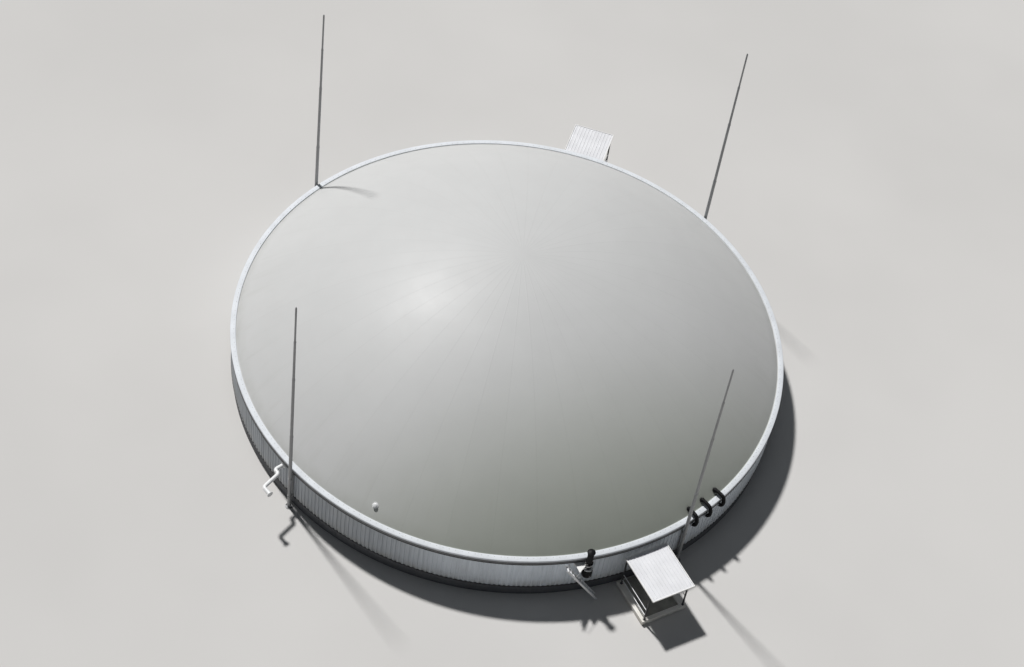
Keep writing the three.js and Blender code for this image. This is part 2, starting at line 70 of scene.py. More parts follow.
class Recipe:
    """A material's nodes, written step by step."""

    def __init__(self, name: str) -> None:
        """Starts an empty material.

        Args:
            name: What the finish is called.
        """
        self.material = bpy.data.materials.new(name)
        self.material.use_nodes = True
        self.tree = self.material.node_tree
        self.tree.nodes.clear()

    def step(self, kind: str, feeds: dict[str | int, Feed], **settings: object) -> bpy.types.Node:
        """Adds one node.

        Args:
            kind: Its type, without the ShaderNode prefix.
            feeds: An output, number or colour for an input, by name or index; None leaves it alone.
            settings: The node's own options.

        Returns:
            The new node.
        """
        node = self.tree.nodes.new(f"ShaderNode{kind}")
        for name, value in settings.items():
            setattr(node, name, value)
        for key, value in feeds.items():
            socket = node.inputs[key]
            if isinstance(value, Socket):
                self.tree.links.new(value, socket)
            elif value is not None:
                socket.default_value = (*value, 1.0) if socket.type == "RGBA" else value
        return node

    def point(self) -> Socket:
        """The surface point in metres round the tank's axis."""
        return self.step("TexCoord", {}).outputs["Object"]

    def vector(self, work: str, first: Feed, second: Feed = None) -> Socket:
        """Vector arithmetic on one or two vectors."""
        node = self.step("VectorMath", {0: first, 1: second}, operation=work)
        return node.outputs["Value" if work in ("LENGTH", "DOT_PRODUCT") else "Vector"]

    def sum(self, work: str, first: Feed, second: Feed = None) -> Socket:
        """Arithmetic on one or two numbers."""
        return self.step("Math", {0: first, 1: second}, operation=work).outputs[0]

    def times(self, first: Feed, second: Feed) -> Socket:
        """The product of two numbers."""
        return self.sum("MULTIPLY", first, second)

    def height(self, place: Socket) -> Socket:
        """The third component of a vector."""
        return self.step("SeparateXYZ", {0: place}).outputs["Z"]

    def towards(self, place: Feed, heading: float) -> Socket:
        """How many metres a point lies from the axis towards a heading in degrees."""
        return self.vector("DOT_PRODUCT", place, polar(1.0, heading, 0.0))

    def upward(self) -> Socket:
        """How far the surface faces up, from minus one to one."""
        return self.height(self.step("NewGeometry", {}).outputs["Normal"])

    def cloud(self, place: Feed, scale: float, detail: float = 4.0) -> Socket:
        """Soft noise from zero to one."""
        feeds = {"Vector": place, "Scale": scale, "Detail": detail, "Roughness": 0.55}
        return self.step("TexNoise", feeds).outputs[0]

    def ease(self, value: Feed, low: float, high: float, start: float = 0.0,
             end: float = 1.0) -> Socket:
        """Carries a number smoothly from one range to another.

        Args:
            value: The number.
            low: Where the ease begins.
            high: Where it ends.
            start: The result at the low end.
            end: The result at the high end.

        Returns:
            The eased number.
        """
        feeds = {"Value": value, "From Min": low, "From Max": high, "To Min": start, "To Max": end}
        return self.step("MapRange", feeds, interpolation_type="SMOOTHSTEP").outputs["Result"]

    def blend(self, share: Feed, first: Feed, second: Feed, work: str = "MIX") -> Socket:
        """Mixes two colours."""
        return self.step("Mix", {0: share, 6: first, 7: second}, data_type="RGBA",
                         blend_type=work).outputs[2]

    def shaded(self, colour: Feed, share: Feed) -> Socket:
        """Multiplies a colour by a number."""
        return self.blend(1.0, colour, share, "MULTIPLY")

    def relief(self, rise: Feed, depth: float, under: Feed = None) -> Socket:
        """Bumps the surface by a height, up to a depth in metres, over the relief below it."""
        return self.step("Bump", {"Height": rise, "Distance": depth, "Normal": under}).outputs[0]

    def surface(self, colour: Feed, rough: Feed, relief: Feed = None, metal: float = 0.0,
                coat: float = 0.0, gloss: float = 0.5,
                coat_rough: float = 0.05) -> bpy.types.Material:
        """Ends the recipe with its shader.

        Args:
            colour: The base colour.
            rough: The roughness.
            relief: The bumped normal.
            metal: How metallic it is.
            coat: The weight of a clear coat.
            gloss: The strength of the plain reflection; a half is that of plastic.
            coat_rough: The roughness of the coat.

        Returns:
            The finished material.
        """
        feeds = {"Base Color": colour, "Roughness": rough, "Normal": relief, "Metallic": metal,
                 "Coat Weight": coat, "Coat Roughness": coat_rough, "Specular IOR Level": gloss}
        shader = self.step("BsdfPrincipled", feeds)
        self.step("OutputMaterial", {"Surface": shader.outputs[0]})
        return self.material


@dataclass(frozen=True)
class RoofFabric:
    """Coated membrane: faint gores, rain runs, dust along the foot, and a greenish darkening towards the
    side away from the light that is partly algae and partly painted shade.
    """

    tint: Colour = (0.574, 0.578, 0.574)
    # algae tint and painted shade for the side away from the light
    algae_and_painted_shade: Colour = (0.68, 0.715, 0.63)
    lee: float = -75.0
    grime: Colour = (0.33, 0.33, 0.28)
    gores: int = 40
    seam: float = 0.03
    foot: float = 15.105

    def material(self) -> bpy.types.Material:
        """Builds the finish."""
        mix = Recipe("roof_fabric")
        place = mix.point()
        flat = mix.vector("MULTIPLY", place, (1.0, 1.0, 0.0))
        radius = mix.vector("LENGTH", flat)
        parts = mix.step("SeparateXYZ", {0: place}).outputs
        gore = mix.times(mix.sum("ARCTAN2", parts["Y"], parts["X"]), self.gores / tau)
        off = mix.sum("ABSOLUTE", mix.sum("SUBTRACT", mix.sum("FRACT", gore), 0.5))
        gap = mix.times(mix.times(mix.sum("SUBTRACT", 0.5, off), radius), tau / self.gores)
        seam = mix.ease(gap, self.seam * 0.8, self.seam, 1.0, 0.0)
        bolt = mix.step("TexWhiteNoise", {"W": mix.sum("FLOOR", gore)}, noise_dimensions="1D")
        heading = mix.vector("MULTIPLY", mix.vector("NORMALIZE", flat), (34.0, 34.0, 0.0))
        runs_at = mix.vector("ADD", heading, mix.vector("MULTIPLY", place, (0.0, 0.0, 0.35)))
        runs = mix.times(mix.ease(mix.cloud(runs_at, 1.0, 3.0), 0.5, 0.72),
                         mix.ease(radius, 11.5, self.foot, 0.0, 1.0))
        tone = mix.ease(mix.cloud(place, 0.11, 3.0), 0.3, 0.7, 0.985, 1.015)
        for share in (mix.ease(mix.cloud(place, 0.8, 5.0), 0.25, 0.75, 0.988, 1.01),
                      mix.ease(bolt.outputs["Value"], 0.0, 1.0, 0.996, 1.003),
                      mix.ease(seam, 0.0, 1.0, 1.0, 0.982)):
            tone = mix.times(tone, share)
        # Partly algae, partly painted shade: the skin is painted darker and greener towards the lee side,
        # where the light falls weakly on its slope.
        lee_algae_and_shade_mask = mix.ease(mix.towards(flat, self.lee), 0.32 * self.foot, 1.08 * self.foot)
        colour = mix.shaded(mix.shaded(self.tint, tone), mix.blend(lee_algae_and_shade_mask, (1.0, 1.0, 1.0), self.algae_and_painted_shade))
        dusty = mix.times(mix.ease(radius, self.foot - 0.6, self.foot, 0.0, 0.25),
                          mix.ease(mix.cloud(place, 1.7, 6.0), 0.3, 0.7, 0.35, 1.0))
        colour = mix.blend(mix.sum("MAXIMUM", dusty, mix.times(runs, 0.08)), colour, self.grime)
        rough = mix.ease(mix.cloud(place, 0.6, 4.0), 0.3, 0.7, 0.46, 0.51)
        relief = mix.relief(mix.cloud(place, 1.1, 3.0), 0.002, mix.relief(seam, 0.002))
        return mix.surface(colour, rough, relief, coat=0.02, gloss=0.26, coat_rough=0.26)


@dataclass(frozen=True)
class WallSheet:
    """Coated ribbed sheet: each length a touch different, dust at its foot, faint rain runs, painted light
    on the front sheets and painted shade on the left ones.
    """

    tint: Colour = (0.62, 0.665, 0.715)
    dust: Colour = (0.42, 0.405, 0.37)
    # Painted light on the front and painted shade on the left: heading, where the ease runs in metres, and
    # the factor.
    painted_front_light: tuple[float, ...] = (-97.0, 14.2, 15.3, 1.28)
    painted_left_shade: tuple[float, ...] = (-150.0, 9.0, 14.5, 0.66)
    foot: float = 0.745

    def material(self) -> bpy.types.Material:
        """Builds the finish."""
        mix = Recipe("wall_sheet")
        place = mix.point()
        own = mix.step("Attribute", {}, attribute_name="tone").outputs["Fac"]
        tall = mix.vector("MULTIPLY", place, (5.0, 5.0, 0.45))
        runs = mix.ease(mix.cloud(tall, 1.0, 4.0), 0.35, 0.75, 1.03, 0.90)
        tone = mix.times(mix.ease(own, 0.0, 1.0, 0.94, 1.06), runs)
        # Painted light and shade: sheets facing the front are painted paler, those on the left darker.
        for heading, low, high, end in (self.painted_front_light, self.painted_left_shade):
            tone = mix.times(tone, mix.ease(mix.towards(place, heading), low, high, 1.0, end))
        low = mix.ease(mix.height(place), self.foot, self.foot + 0.8, 0.55, 0.0)
        splash = mix.times(low, mix.ease(mix.cloud(place, 2.2, 6.0), 0.3, 0.7, 0.2, 1.0))
        film = mix.ease(mix.cloud(place, 0.35, 5.0), 0.4, 0.75, 0.0, 0.16)
        colour = mix.blend(mix.sum("MAXIMUM", splash, film), mix.shaded(self.tint, tone), self.dust)
        rough = mix.ease(mix.cloud(tall, 1.0, 3.0), 0.3, 0.7, 0.38, 0.55)
        return mix.surface(colour, rough, mix.relief(mix.cloud(place, 9.0, 2.0), 0.001), metal=0.15)


@dataclass(frozen=True)
class Coated:
    """Painted metal or smooth plastic with dust on top, runs down its sides and rust at spots."""

    name: str
    tint: Colour
    dust: Colour = (0.33, 0.30, 0.26)
    rough: float = 0.45
    metal: float = 0.0
    top_dust: float = 0.35
    runs: float = 0.25
    rust: float = 0.0
    coat: float = 0.0
    gloss: float = 0.5
    rusty: Colour = (0.18, 0.075, 0.03)

    def material(self) -> bpy.types.Material:
        """Builds the finish."""
        mix = Recipe(self.name)
        place = mix.point()
        colour = mix.shaded(self.tint, mix.ease(mix.cloud(place, 1.3, 5.0), 0.3, 0.7, 0.94, 1.05))
        settled = mix.times(mix.ease(mix.upward(), 0.35, 0.95, 0.0, self.top_dust),
                            mix.ease(mix.cloud(place, 2.6, 6.0), 0.35, 0.75))
        tall = mix.vector("MULTIPLY", place, (9.0, 9.0, 0.9))
        run = mix.ease(mix.cloud(tall, 1.0, 4.0), 0.52, 0.78, 0.0, self.runs)
        colour = mix.blend(mix.sum("MAXIMUM", settled, run), colour, self.dust)
        if self.rust:
            spots = mix.ease(mix.cloud(place, 7.0, 6.0), 0.66, 0.74, 0.0, self.rust)
            colour = mix.blend(spots, colour, self.rusty)
        rough = mix.ease(mix.cloud(place, 6.0, 4.0), 0.3, 0.7, self.rough - 0.06, self.rough + 0.1)
        relief = mix.relief(mix.cloud(place, 26.0, 3.0), 0.0006)
        return mix.surface(colour, rough, relief, self.metal, self.coat, self.gloss)


@dataclass(frozen=True)
class CastConcrete:
    """Cast concrete: cloudy, damp at the foot, with pores."""

    name: str = "cast_concrete"
    tint: Colour = (0.42, 0.41, 0.375)
    cloudy: Colour = (0.31, 0.30, 0.27)
    damp: Colour = (0.17, 0.165, 0.145)

    def material(self) -> bpy.types.Material:
        """Builds the finish."""
        mix = Recipe(self.name)
        place = mix.point()
        cloud = mix.cloud(place, 1.4, 8.0)
        colour = mix.blend(mix.ease(cloud, 0.3, 0.72), self.tint, self.cloudy)
        foot = mix.times(mix.ease(mix.height(place), 0.0, 0.28, 0.75, 0.0),
                         mix.ease(mix.cloud(place, 3.0, 6.0), 0.3, 0.65))
        colour = mix.blend(foot, colour, self.damp)
        cells = mix.step("TexVoronoi", {"Vector": place, "Scale": 24.0}).outputs["Distance"]
        pores = mix.ease(cells, 0.05, 0.22)
        colour = mix.shaded(colour, mix.ease(pores, 0.0, 1.0, 0.72, 1.0))
        relief = mix.relief(mix.cloud(place, 16.0, 7.0), 0.004, mix.relief(pores, 0.003))
        return mix.surface(colour, mix.ease(cloud, 0.2, 0.8, 0.82, 0.95), relief)


@dataclass(frozen=True)
class Galvanised:
    """Dull zinc: a fine spangle with white bloom."""

    tint: Colour = (0.52, 0.53, 0.54)
    bloom: Colour = (0.66, 0.66, 0.65)

    def material(self) -> bpy.types.Material:
        """Builds the finish."""
        mix = Recipe("dull_zinc")
        place = mix.point()
        spangle = mix.step("TexVoronoi", {"Vector": place, "Scale": 45.0}).outputs["Color"]
        grain = mix.ease(mix.height(spangle), 0.0, 1.0, 0.86, 1.1)
        white = mix.ease(mix.cloud(place, 3.5, 6.0), 0.45, 0.7, 0.0, 0.7)
        colour = mix.blend(white, mix.shaded(self.tint, grain), self.bloom)
        rough = mix.ease(grain, 0.86, 1.1, 0.42, 0.58)
        return mix.surface(colour, rough, mix.relief(grain, 0.0004), metal=0.55)


class Coat(Enum):
    """The finishes that the digester's pieces are given."""

    FABRIC = RoofFabric()
    SHEET = WallSheet()
    CONCRETE = CastConcrete()
    KERB = CastConcrete("pale_concrete", (0.86, 0.845, 0.80), (0.76, 0.735, 0.68), (0.45, 0.42, 0.36))
    ZINC = Galvanised()
    RAIL = Coated("rail_coat", (0.70, 0.73, 0.765), rough=0.62, top_dust=0.06, runs=0.2, rust=0.05,
                  gloss=0.2)
    WHITE = Coated("white_coat", (0.84, 0.85, 0.855), rough=0.38, top_dust=0.08, runs=0.2, rust=0.05)
    ROOF = Coated("white_roof_sheet", (0.77, 0.775, 0.80), rough=0.42, top_dust=0.10, runs=0.1)
    EDGE = Coated("white_roof_edge", (0.88, 0.875, 0.86), rough=0.38, top_dust=0.05, runs=0.15)
    # Painted shade: the rail's skirt is painted dark grey for the shade under the rail's top.
    PAINTED_SHADE_SKIRT = Coated("rail_skirt_painted_shade", (0.13, 0.135, 0.14), metal=0.1, top_dust=0.1, runs=0.2)
    PLINTH = Coated("plinth_coat", (0.10, 0.104, 0.113), dust=(0.18, 0.17, 0.15), rough=0.75)
    DARK = Coated("dark_steel", (0.04, 0.043, 0.047), rough=0.42, metal=0.35, top_dust=0.2, rust=0.12)
    MAST = Coated("mast_zinc", (0.32, 0.325, 0.33), metal=0.3, top_dust=0.1, runs=0.15)
    PALE = Coated("pale_steel", (0.80, 0.81, 0.82), rough=0.42, metal=0.1, top_dust=0.08, runs=0.12)
    DRIVE = Coated("drive_enamel", (0.03, 0.055, 0.075), rough=0.33, top_dust=0.3, rust=0.15, coat=0.3)
    BLACK = Coated("black_plastic", (0.006, 0.006, 0.007), dust=(0.03, 0.029, 0.027), rough=0.55,
                   top_dust=0.12, runs=0.1, gloss=0.2)
    RUBBER = Coated("black_rubber", (0.012, 0.012, 0.012), dust=(0.09, 0.085, 0.08), rough=0.8)
    BOLT = Coated("bolt_zinc", (0.36, 0.36, 0.35), rough=0.35, metal=0.75, top_dust=0.2, rust=0.35)

    @functools.cached_property
    def material(self) -> bpy.types.Material:
        """The finish's material, built once."""
        return self.value.material()


def aimed(foot: Point, axis: Point) -> Matrix:
    """A frame at a point, whose third axis points along a direction."""
    return Matrix.Translation(Vector(foot)) @ Vector(axis).to_track_quat("Z", "Y").to_matrix().to_4x4()


def moved(x: float, y: float, z: float) -> Matrix:
    """A shift."""
    return Matrix.Translation((x, y, z))


def spun(angle: float) -> Matrix:
    """A turn about the third axis, in degrees."""
    return Matrix.Rotation(radians(angle), 4, "Z")


def upright(x: float = 0.0, y: float = 0.0, z: float = 0.0) -> Matrix:
    """A frame at a point whose prisms run along the radius: outlines are across and up."""
    return moved(x, y, z) @ Matrix(((0, 0, 1, 0), (1, 0, 0, 0), (0, 1, 0, 0), (0, 0, 0, 1)))


def sideways(x: float = 0.0, y: float = 0.0, z: float = 0.0) -> Matrix:
    """A frame at a point whose prisms run against the wall: outlines are along the radius and up."""
    return moved(x, y, z) @ Matrix(((1, 0, 0, 0), (0, 0, -1, 0), (0, 1, 0, 0), (0, 0, 0, 1)))


def polar(radius: float, angle: float, *level: float) -> tuple[float, ...]:
    """A point at a radius and an angle in degrees, with a height if one is given."""
    return (radius * cos(radians(angle)), radius * sin(radians(angle)), *level)


def arc(radius: float, start: float, end: float, steps: int) -> list[Point]:
    """Points at a radius from one angle to another, in degrees."""
    return [polar(radius, start + (end - start) * k / steps) for k in range(steps + 1)]


def round_outline(radius: float, sides: int) -> list[Point]:
    """A regular outline round the origin."""
    return [(radius * cos(tau * k / sides), radius * sin(tau * k / sides)) for k in range(sides)]


def rectangle(width: float, depth: float, corner: float = 0.0) -> list[Point]:
    """A rectangle round the origin.

    Args:
        width: Its full first side.
        depth: Its full second side.
        corner: How much comes off each corner.

    Returns:
        The outline, counter-clockwise.
    """
    x, y, c = width / 2, depth / 2, corner
    if not c:
        return [(-x, -y), (x, -y), (x, y), (-x, y)]
    return [(-x + c, -y), (x - c, -y), (x, -y + c), (x, y - c),
            (x - c, y), (-x + c, y), (-x, y - c), (-x, -y + c)]


def inset(outline: Outline, by: float) -> list[Point]:
    """Moves every side of an outline inwards.

    Args:
        outline: The outline, counter-clockwise.
        by: How far its sides move.

    Returns:
        The smaller outline.
    """
    points = [Vector(p) for p in outline]
    result = []
    for before, point, after in zip(points[-1:] + points, points, points[1:] + points[:1]):
        a, b = (point - before).normalized(), (after - point).normalized()
        normal = Vector((-a.y - b.y, a.x + b.x))
        result.append(tuple(point + normal * (by / normal.dot(Vector((-a.y, a.x))))))
    return result


def filleted(points: Sequence[Point], radius: float, steps: int = 6) -> list[Vector]:
    """A route with its inner corners rounded.

    Args:
        points: The corners of the route.
        radius: How far from a corner its bend begins.
        steps: How many lengths make a bend.

    Returns:
        The points of the rounded route.
    """
    corners = [Vector(p) for p in points]
    route = [corners[0]]
    for before, corner, after in zip(corners, corners[1:], corners[2:]):
        start = corner + (before - corner).normalized() * radius
        end = corner + (after - corner).normalized() * radius
        for t in (k / steps for k in range(steps + 1)):
            route.append(start * (1 - t) ** 2 + corner * 2 * t * (1 - t) + end * t * t)
    return [*route, corners[-1]]


def smooth_route(points: Sequence[Point], pitch: float, fine: int = 40) -> list[Vector]:
    """A smooth route through points, cut into even lengths.

    Args:
        points: The points that it passes.
        pitch: The length of a step.
        fine: How finely the curve is followed between two points.

    Returns:
        The points of the route.
    """
    knots = [Vector(p) for p in points]
    knots = [knots[0] * 2 - knots[1], *knots, knots[-1] * 2 - knots[-2]]
    dense = []
    for a, b, c, d in zip(knots, knots[1:], knots[2:], knots[3:]):
        for t in (k / fine for k in range(fine)):
            dense.append(0.5 * (b * 2 + (c - a) * t + (a * 2 - b * 5 + c * 4 - d) * t * t
                                + (b * 3 - a - c * 3 + d) * t ** 3))
    dense.append(knots[-2])
    route, left = [dense[0]], pitch
    for start, end in zip(dense, dense[1:]):
        span = (end - start).length
        while left <= span:
            start = start.lerp(end, left / span)
            route.append(start)
            span -= left
            left = pitch
        left -= span
    return route


class Shape:
    """Closed solids gathered into one piece, in a frame of it and in a finish."""

    def __init__(self, coat: Coat, angle: float = 0.0) -> None:
        """Starts an empty piece.

        Args:
            coat: The finish.
            angle: Where it stands round the tank, in degrees; its first axis points outwards.
        """
        self.coat = coat
        self.place = spun(angle)
        self.points: list[Vector] = []
        self.tones: list[float] = []
        self.faces: list[list[int]] = []
        self.coats: list[Coat] = []

    def at(self, spot: Matrix, coat: Coat | None = None) -> "Shape":
        """The same piece, worked on in a frame of it, in its finish or another."""
        view = copy.copy(self)
        view.place, view.coat = self.place @ spot, coat or self.coat
        return view

    def coated(self, coat: Coat) -> "Shape":
        """The same piece, worked on in another finish."""
        return self.at(Matrix(), coat)

    def loft(self, loops: Iterable[Sequence[Point]], ring: bool = False) -> None:
        """Skins a row of loops with equal counts of points; a loop of one point is a tip.

        Args:
            loops: The loops, from end to end.
            ring: Whether the last loop joins the first.
        """
        rows = []
        for loop in loops:
            first = len(self.points)
            self.points.extend(self.place @ Vector(p) for p in loop)
            rows.append(list(range(first, len(self.points))))
        for near, far in zip(rows, rows[1:] + rows[:1] if ring else rows[1:]):
            a, b, count = len(near), len(far), max(len(near), len(far))
            for k, j in ((k, (k + 1) % count) for k in range(count)):
                self.faces.append(list(dict.fromkeys((near[k % a], far[k % b], far[j % b], near[j % a]))))
        if not ring:
            self.faces.extend(row for row in (rows[0], rows[-1]) if len(row) > 2)
        self.tones.extend([PLAIN_TONE] * (len(self.points) - len(self.tones)))
        self.coats.extend([self.coat] * (len(self.faces) - len(self.coats)))

    def prism(self, outline: Outline, low: float, high: float, chamfer: float = 0.0) -> None:
        """A straight solid along the third axis, with the edges of its ends taken off.

        Args:
            outline: Its section, counter-clockwise.
            low: Where it begins.
            high: Where it ends.
            chamfer: How much comes off the edges.
        """
        small = inset(outline, chamfer) if chamfer else []
        levels = ((small, low), (outline, low + chamfer), (outline, high - chamfer), (small, high))
        self.loft([(x, y, z) for x, y in points] for points, z in levels if points)

    def block(self, low: Point, high: Point, chamfer: float = 0.004) -> None:
        """A block with all its edges taken off.

        Args:
            low: Its lowest corner.
            high: Its highest corner.
            chamfer: How much comes off the edges.
        """
        outline = rectangle(high[0] - low[0], high[1] - low[1], chamfer)
        middle = moved((low[0] + high[0]) / 2, (low[1] + high[1]) / 2, 0.0)
        self.at(middle).prism(outline, low[2], high[2], chamfer)

    def turned(self, profile: Outline, sides: int = 32) -> None:
        """A round solid of its radii and heights, from end to end."""
        circle = round_outline(1.0, sides)
        self.loft([(r * x, r * y, z) for x, y in (circle if r else circle[:1])] for r, z in profile)

    def band(self, radius: float, low: float, high: float, sides: int = 32,
             edge: float = 0.003) -> None:
        """A disc or collar with its edges taken off."""
        self.turned([(radius - edge, low), (radius, low + edge), (radius, high - edge),
                     (radius - edge, high)], sides)

    def rod(self, start: Point, end: Point, radius: float, sides: int = 12) -> None:
        """A round bar between two points."""
        way = Vector(end) - Vector(start)
        self.at(aimed(start, way)).band(radius, 0.0, way.length, sides, min(0.003, radius * 0.3))

    def tube(self, route: Sequence[Vector], radius: Callable[[float], float], sides: int = 20) -> None:
        """A round solid along a route.

        Args:
            route: The points of its middle line.
            radius: Its radius at a length along the route.
            sides: How many sides it has.
        """
        circle = round_outline(1.0, sides)
        across = (route[1] - route[0]).normalized().orthogonal().normalized()
        loops, run = [], 0.0
        for before, point, after in zip(route[:1] + route, route, route[1:] + route[-1:]):
            ahead = (after - before).normalized()
            across = (across - ahead * across.dot(ahead)).normalized()
            beside = ahead.cross(across)
            run += (point - before).length
            size = radius(run)
            loops.append([point + across * (x * size) + beside * (y * size) for x, y in circle])
        self.loft(loops)

    def hoop(self, profile: Outline, start: float, end: float, step: float = 1.25) -> None:
        """A closed profile carried round the tank.

        Args:
            profile: Its radii and heights.
            start: The first angle in degrees.
            end: The last angle; a full turn closes on itself.
            step: The angle of one facet.
        """
        count = max(1, round((end - start) / step))
        whole = end - start > 359.9
        turns = [start + (end - start) * k / count for k in range(count if whole else count + 1)]
        self.loft(([polar(r, turn, z) for r, z in profile] for turn in turns), whole)

    def bolt(self, foot: Point, axis: Point, size: float, plain: bool = False) -> None:
        """A hexagon bolt on its washer.

        Args:
            foot: Where the washer lies.
            axis: Where the head points.
            size: The thread's diameter.
            plain: Whether it is a bare head, for the smallest screws.
        """
        bolt = self.at(aimed(foot, axis), Coat.BOLT)
        hexagon = round_outline(size * 0.87, 6)
        if plain:
            bolt.prism(hexagon, 0.0, size * 0.65)
            return
        bolt.turned([(size * 1.05, 0.0), (size * 1.05, size * 0.16)], 12)
        bolt.prism(hexagon, size * 0.16, size * 0.85, size * 0.1)

    def bolt_ring(self, radius: float, count: int, size: float, level: float, way: int = 1) -> None:
        """Bolts on a circle at a level, pointing up or down the third axis."""
        for spot in round_outline(radius, count):
            self.bolt((*spot, level), (0, 0, way), size)

    def flange(self, radius: float, level: float, thick: float, bolts: int, size: float) -> None:
        """A pair of flanges with their gasket and bolts.

        Args:
            radius: The flanges' radius.
            level: The middle of the joint.
            thick: One flange's thickness.
            bolts: How many bolts.
            size: Their diameter.
        """
        gap, sides = 0.002, 40
        self.band(radius, level - gap - thick, level - gap, sides)
        self.coated(Coat.RUBBER).band(radius * 0.93, level - gap - 0.001, level + gap + 0.001, sides, 0.001)
        self.band(radius, level + gap, level + gap + thick, sides)
        for way in (1, -1):
            self.bolt_ring(radius - size * 1.5, bolts, size, level + way * (gap + thick), way)

    def piece(self, name: str, slot: str, *nodes: str) -> None:
        """Makes the object.

        Args:
            name: What the piece is called.
            slot: The record's slot of its main finish; not used.
            nodes: The plain solids that it stands for.
        """
        mesh = bpy.data.meshes.new(name)
        mesh.from_pydata(self.points, [], self.faces)
        used = list(dict.fromkeys(self.coats))
        for coat in used:
            mesh.materials.append(coat.material)
        mesh.polygons.foreach_set("material_index", [used.index(coat) for coat in self.coats])
        mesh.attributes.new("tone", "FLOAT", "POINT").data.foreach_set("value", self.tones)
        work = bmesh.new()
        work.from_mesh(mesh)
        bmesh.ops.recalc_face_normals(work, faces=work.faces)
        work.to_mesh(mesh)
        work.free()
        mesh.shade_smooth()
        mesh.set_sharp_from_angle(angle=SHARP)
        made = bpy.data.objects.new(name, mesh)
        bpy.context.scene.collection.objects.link(made)
        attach(made, "root")
        if nodes:
            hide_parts(*nodes)
        LOG.info("%s: %d faces", name, len(self.faces))


@dataclass
class Tank:
    """The concrete tank: its slab, and the wall that the sheeting hides."""

    radius: float = 15.22
    slab: float = 0.25
    edge: float = 0.015
    quarters: int = 4

    def build(self) -> None:
        """Casts the slab and dresses the wall."""
        cast = Shape(Coat.CONCRETE)
        cast.band(self.radius, 0.0, self.slab, 288, self.edge)
        cast.piece("base_slab", "tank_concrete", "floor_slab")
        for part in range(1, self.quarters + 1):
            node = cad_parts[f"tank_wall_{part}"]
            for holder in node.material_slots:
                holder.material = Coat.CONCRETE.material
            LOG.info("%s: dressed", node.name)


@dataclass
class Plinth:
    """The dark boards round the foot of the wall, with a joint between each two."""

    back: float = 15.226
    face: float = 15.33
    top: float = 0.72
    halves: int = 2
    boards: int = 40
    gap: float = 0.0005
    joint: float = 0.012
    joint_depth: float = 0.01

    def build(self) -> None:
        """Builds both halves."""
        span = 360.0 / self.halves
        gap, half_joint = degrees(self.gap / self.face), degrees(self.joint / 2 / self.face)
        deep = self.face - self.joint_depth
        for half in range(self.halves):
            start, end = half * span + gap, (half + 1) * span - gap
            width = (end - start) / self.boards
            line = []
            for board in range(self.boards):
                closing = board == self.boards - 1
                first = start + board * width + (half_joint if board else 0.0)
                last = start + (board + 1) * width - (0.0 if closing else half_joint)
                line += arc(self.face, first, last, 4)
                line += [] if closing else [polar(deep, last), polar(deep, last + 2 * half_joint)]
            ring = Shape(Coat.PLINTH)
            ring.prism([*line, *reversed(arc(self.back, start, end, 72))], 0.0, self.top)
            ring.piece(f"wall_foot_boards_{half + 1}", "plinth_coat", f"wall_plinth_{half + 1}")


@dataclass
class Sheeting:
    """Ribbed sheets round the wall, with their screws, foot trim and head seal, whose black is partly
    painted shade under the rail.
    """

    back: float = 15.226
    valley: float = 15.362
    crest: float = 15.395
    lap: float = 0.002
    foot: float = 0.745
    head: float = 2.998
    gap: float = 0.0002
    panels: int = 8
    ribs: int = 48
    ribs_per_sheet: int = 4
    screw_heights: tuple[float, ...] = (0.86, 1.45, 2.05, 2.60)

    def build(self) -> None:
        """Hangs the panels, then the trim and the seal."""
        for part in range(self.panels):
            self.panel(part)
        low = self.foot - 0.024
        trim = [(self.back, low + 0.008), (15.398, low + 0.008), (15.408, low - 0.012),
                (15.411, low - 0.010), (15.404, low + 0.012), (15.404, low + 0.06),
                (15.400, low + 0.06), (15.400, low + 0.018), (self.back, low + 0.018)]
        # The black rubber seal under the rail also stands in for the shade line there: partly a real seal,
        # partly painted shade.
        seal = [(15.385, 2.705), (15.425, 2.705), (15.434, 2.715), (15.434, 2.785), (15.385, 2.785)]
        for name, slot, coat, profile in (("sheeting_foot_trim", "ribbed_cladding", Coat.DARK, trim),
                                          ("rail_seal", "black_pipe", Coat.RUBBER, seal)):
            ring = Shape(coat)
            ring.hoop(profile, 0.0, 360.0)
            ring.piece(name, slot)

    def panel(self, part: int) -> None:
        """Builds an eighth of the ring.

        Args:
            part: Its number, from zero.
        """
        ring = Shape(Coat.SHEET)
        span, gap = 360.0 / self.panels, degrees(self.gap / self.valley)
        start, end = part * span + gap, (part + 1) * span - gap
        outer, tones = [], []
        for rib in range(self.ribs):
            sheet, turn = divmod(part * self.ribs + rib, self.ribs_per_sheet)
            crest = self.crest + (self.lap if turn == self.ribs_per_sheet - 1 else 0.0)
            tones += [PLAIN_TONE * (1 + noise.noise(Vector((sheet * 1.37, 3.1, 0.4))))] * 4
            for share, radius in ((0.0, self.valley), (0.44, self.valley), (0.52, crest), (0.92, crest)):
                outer.append(polar(radius, start + (end - start) * (rib + share) / self.ribs))
            if rib % 2:
                out = Vector(polar(1.0, start + (end - start) * (rib + 0.22) / self.ribs, 0.0))
                for level in self.screw_heights:
                    ring.bolt(out * (self.valley - 0.001) + Vector((0, 0, level)), out, 0.012, True)
        outer.append(polar(self.valley, end))
        inner = arc(self.back, start, end, 12)
        first = len(ring.points)
        ring.prism([*outer, *reversed(inner)], self.foot, self.head)
        ring.tones[first:] = [*tones, tones[-1], *[PLAIN_TONE] * len(inner)] * 2
        ring.piece(f"wall_sheeting_{part + 1}", "ribbed_cladding", f"wall_cladding_{part + 1}")


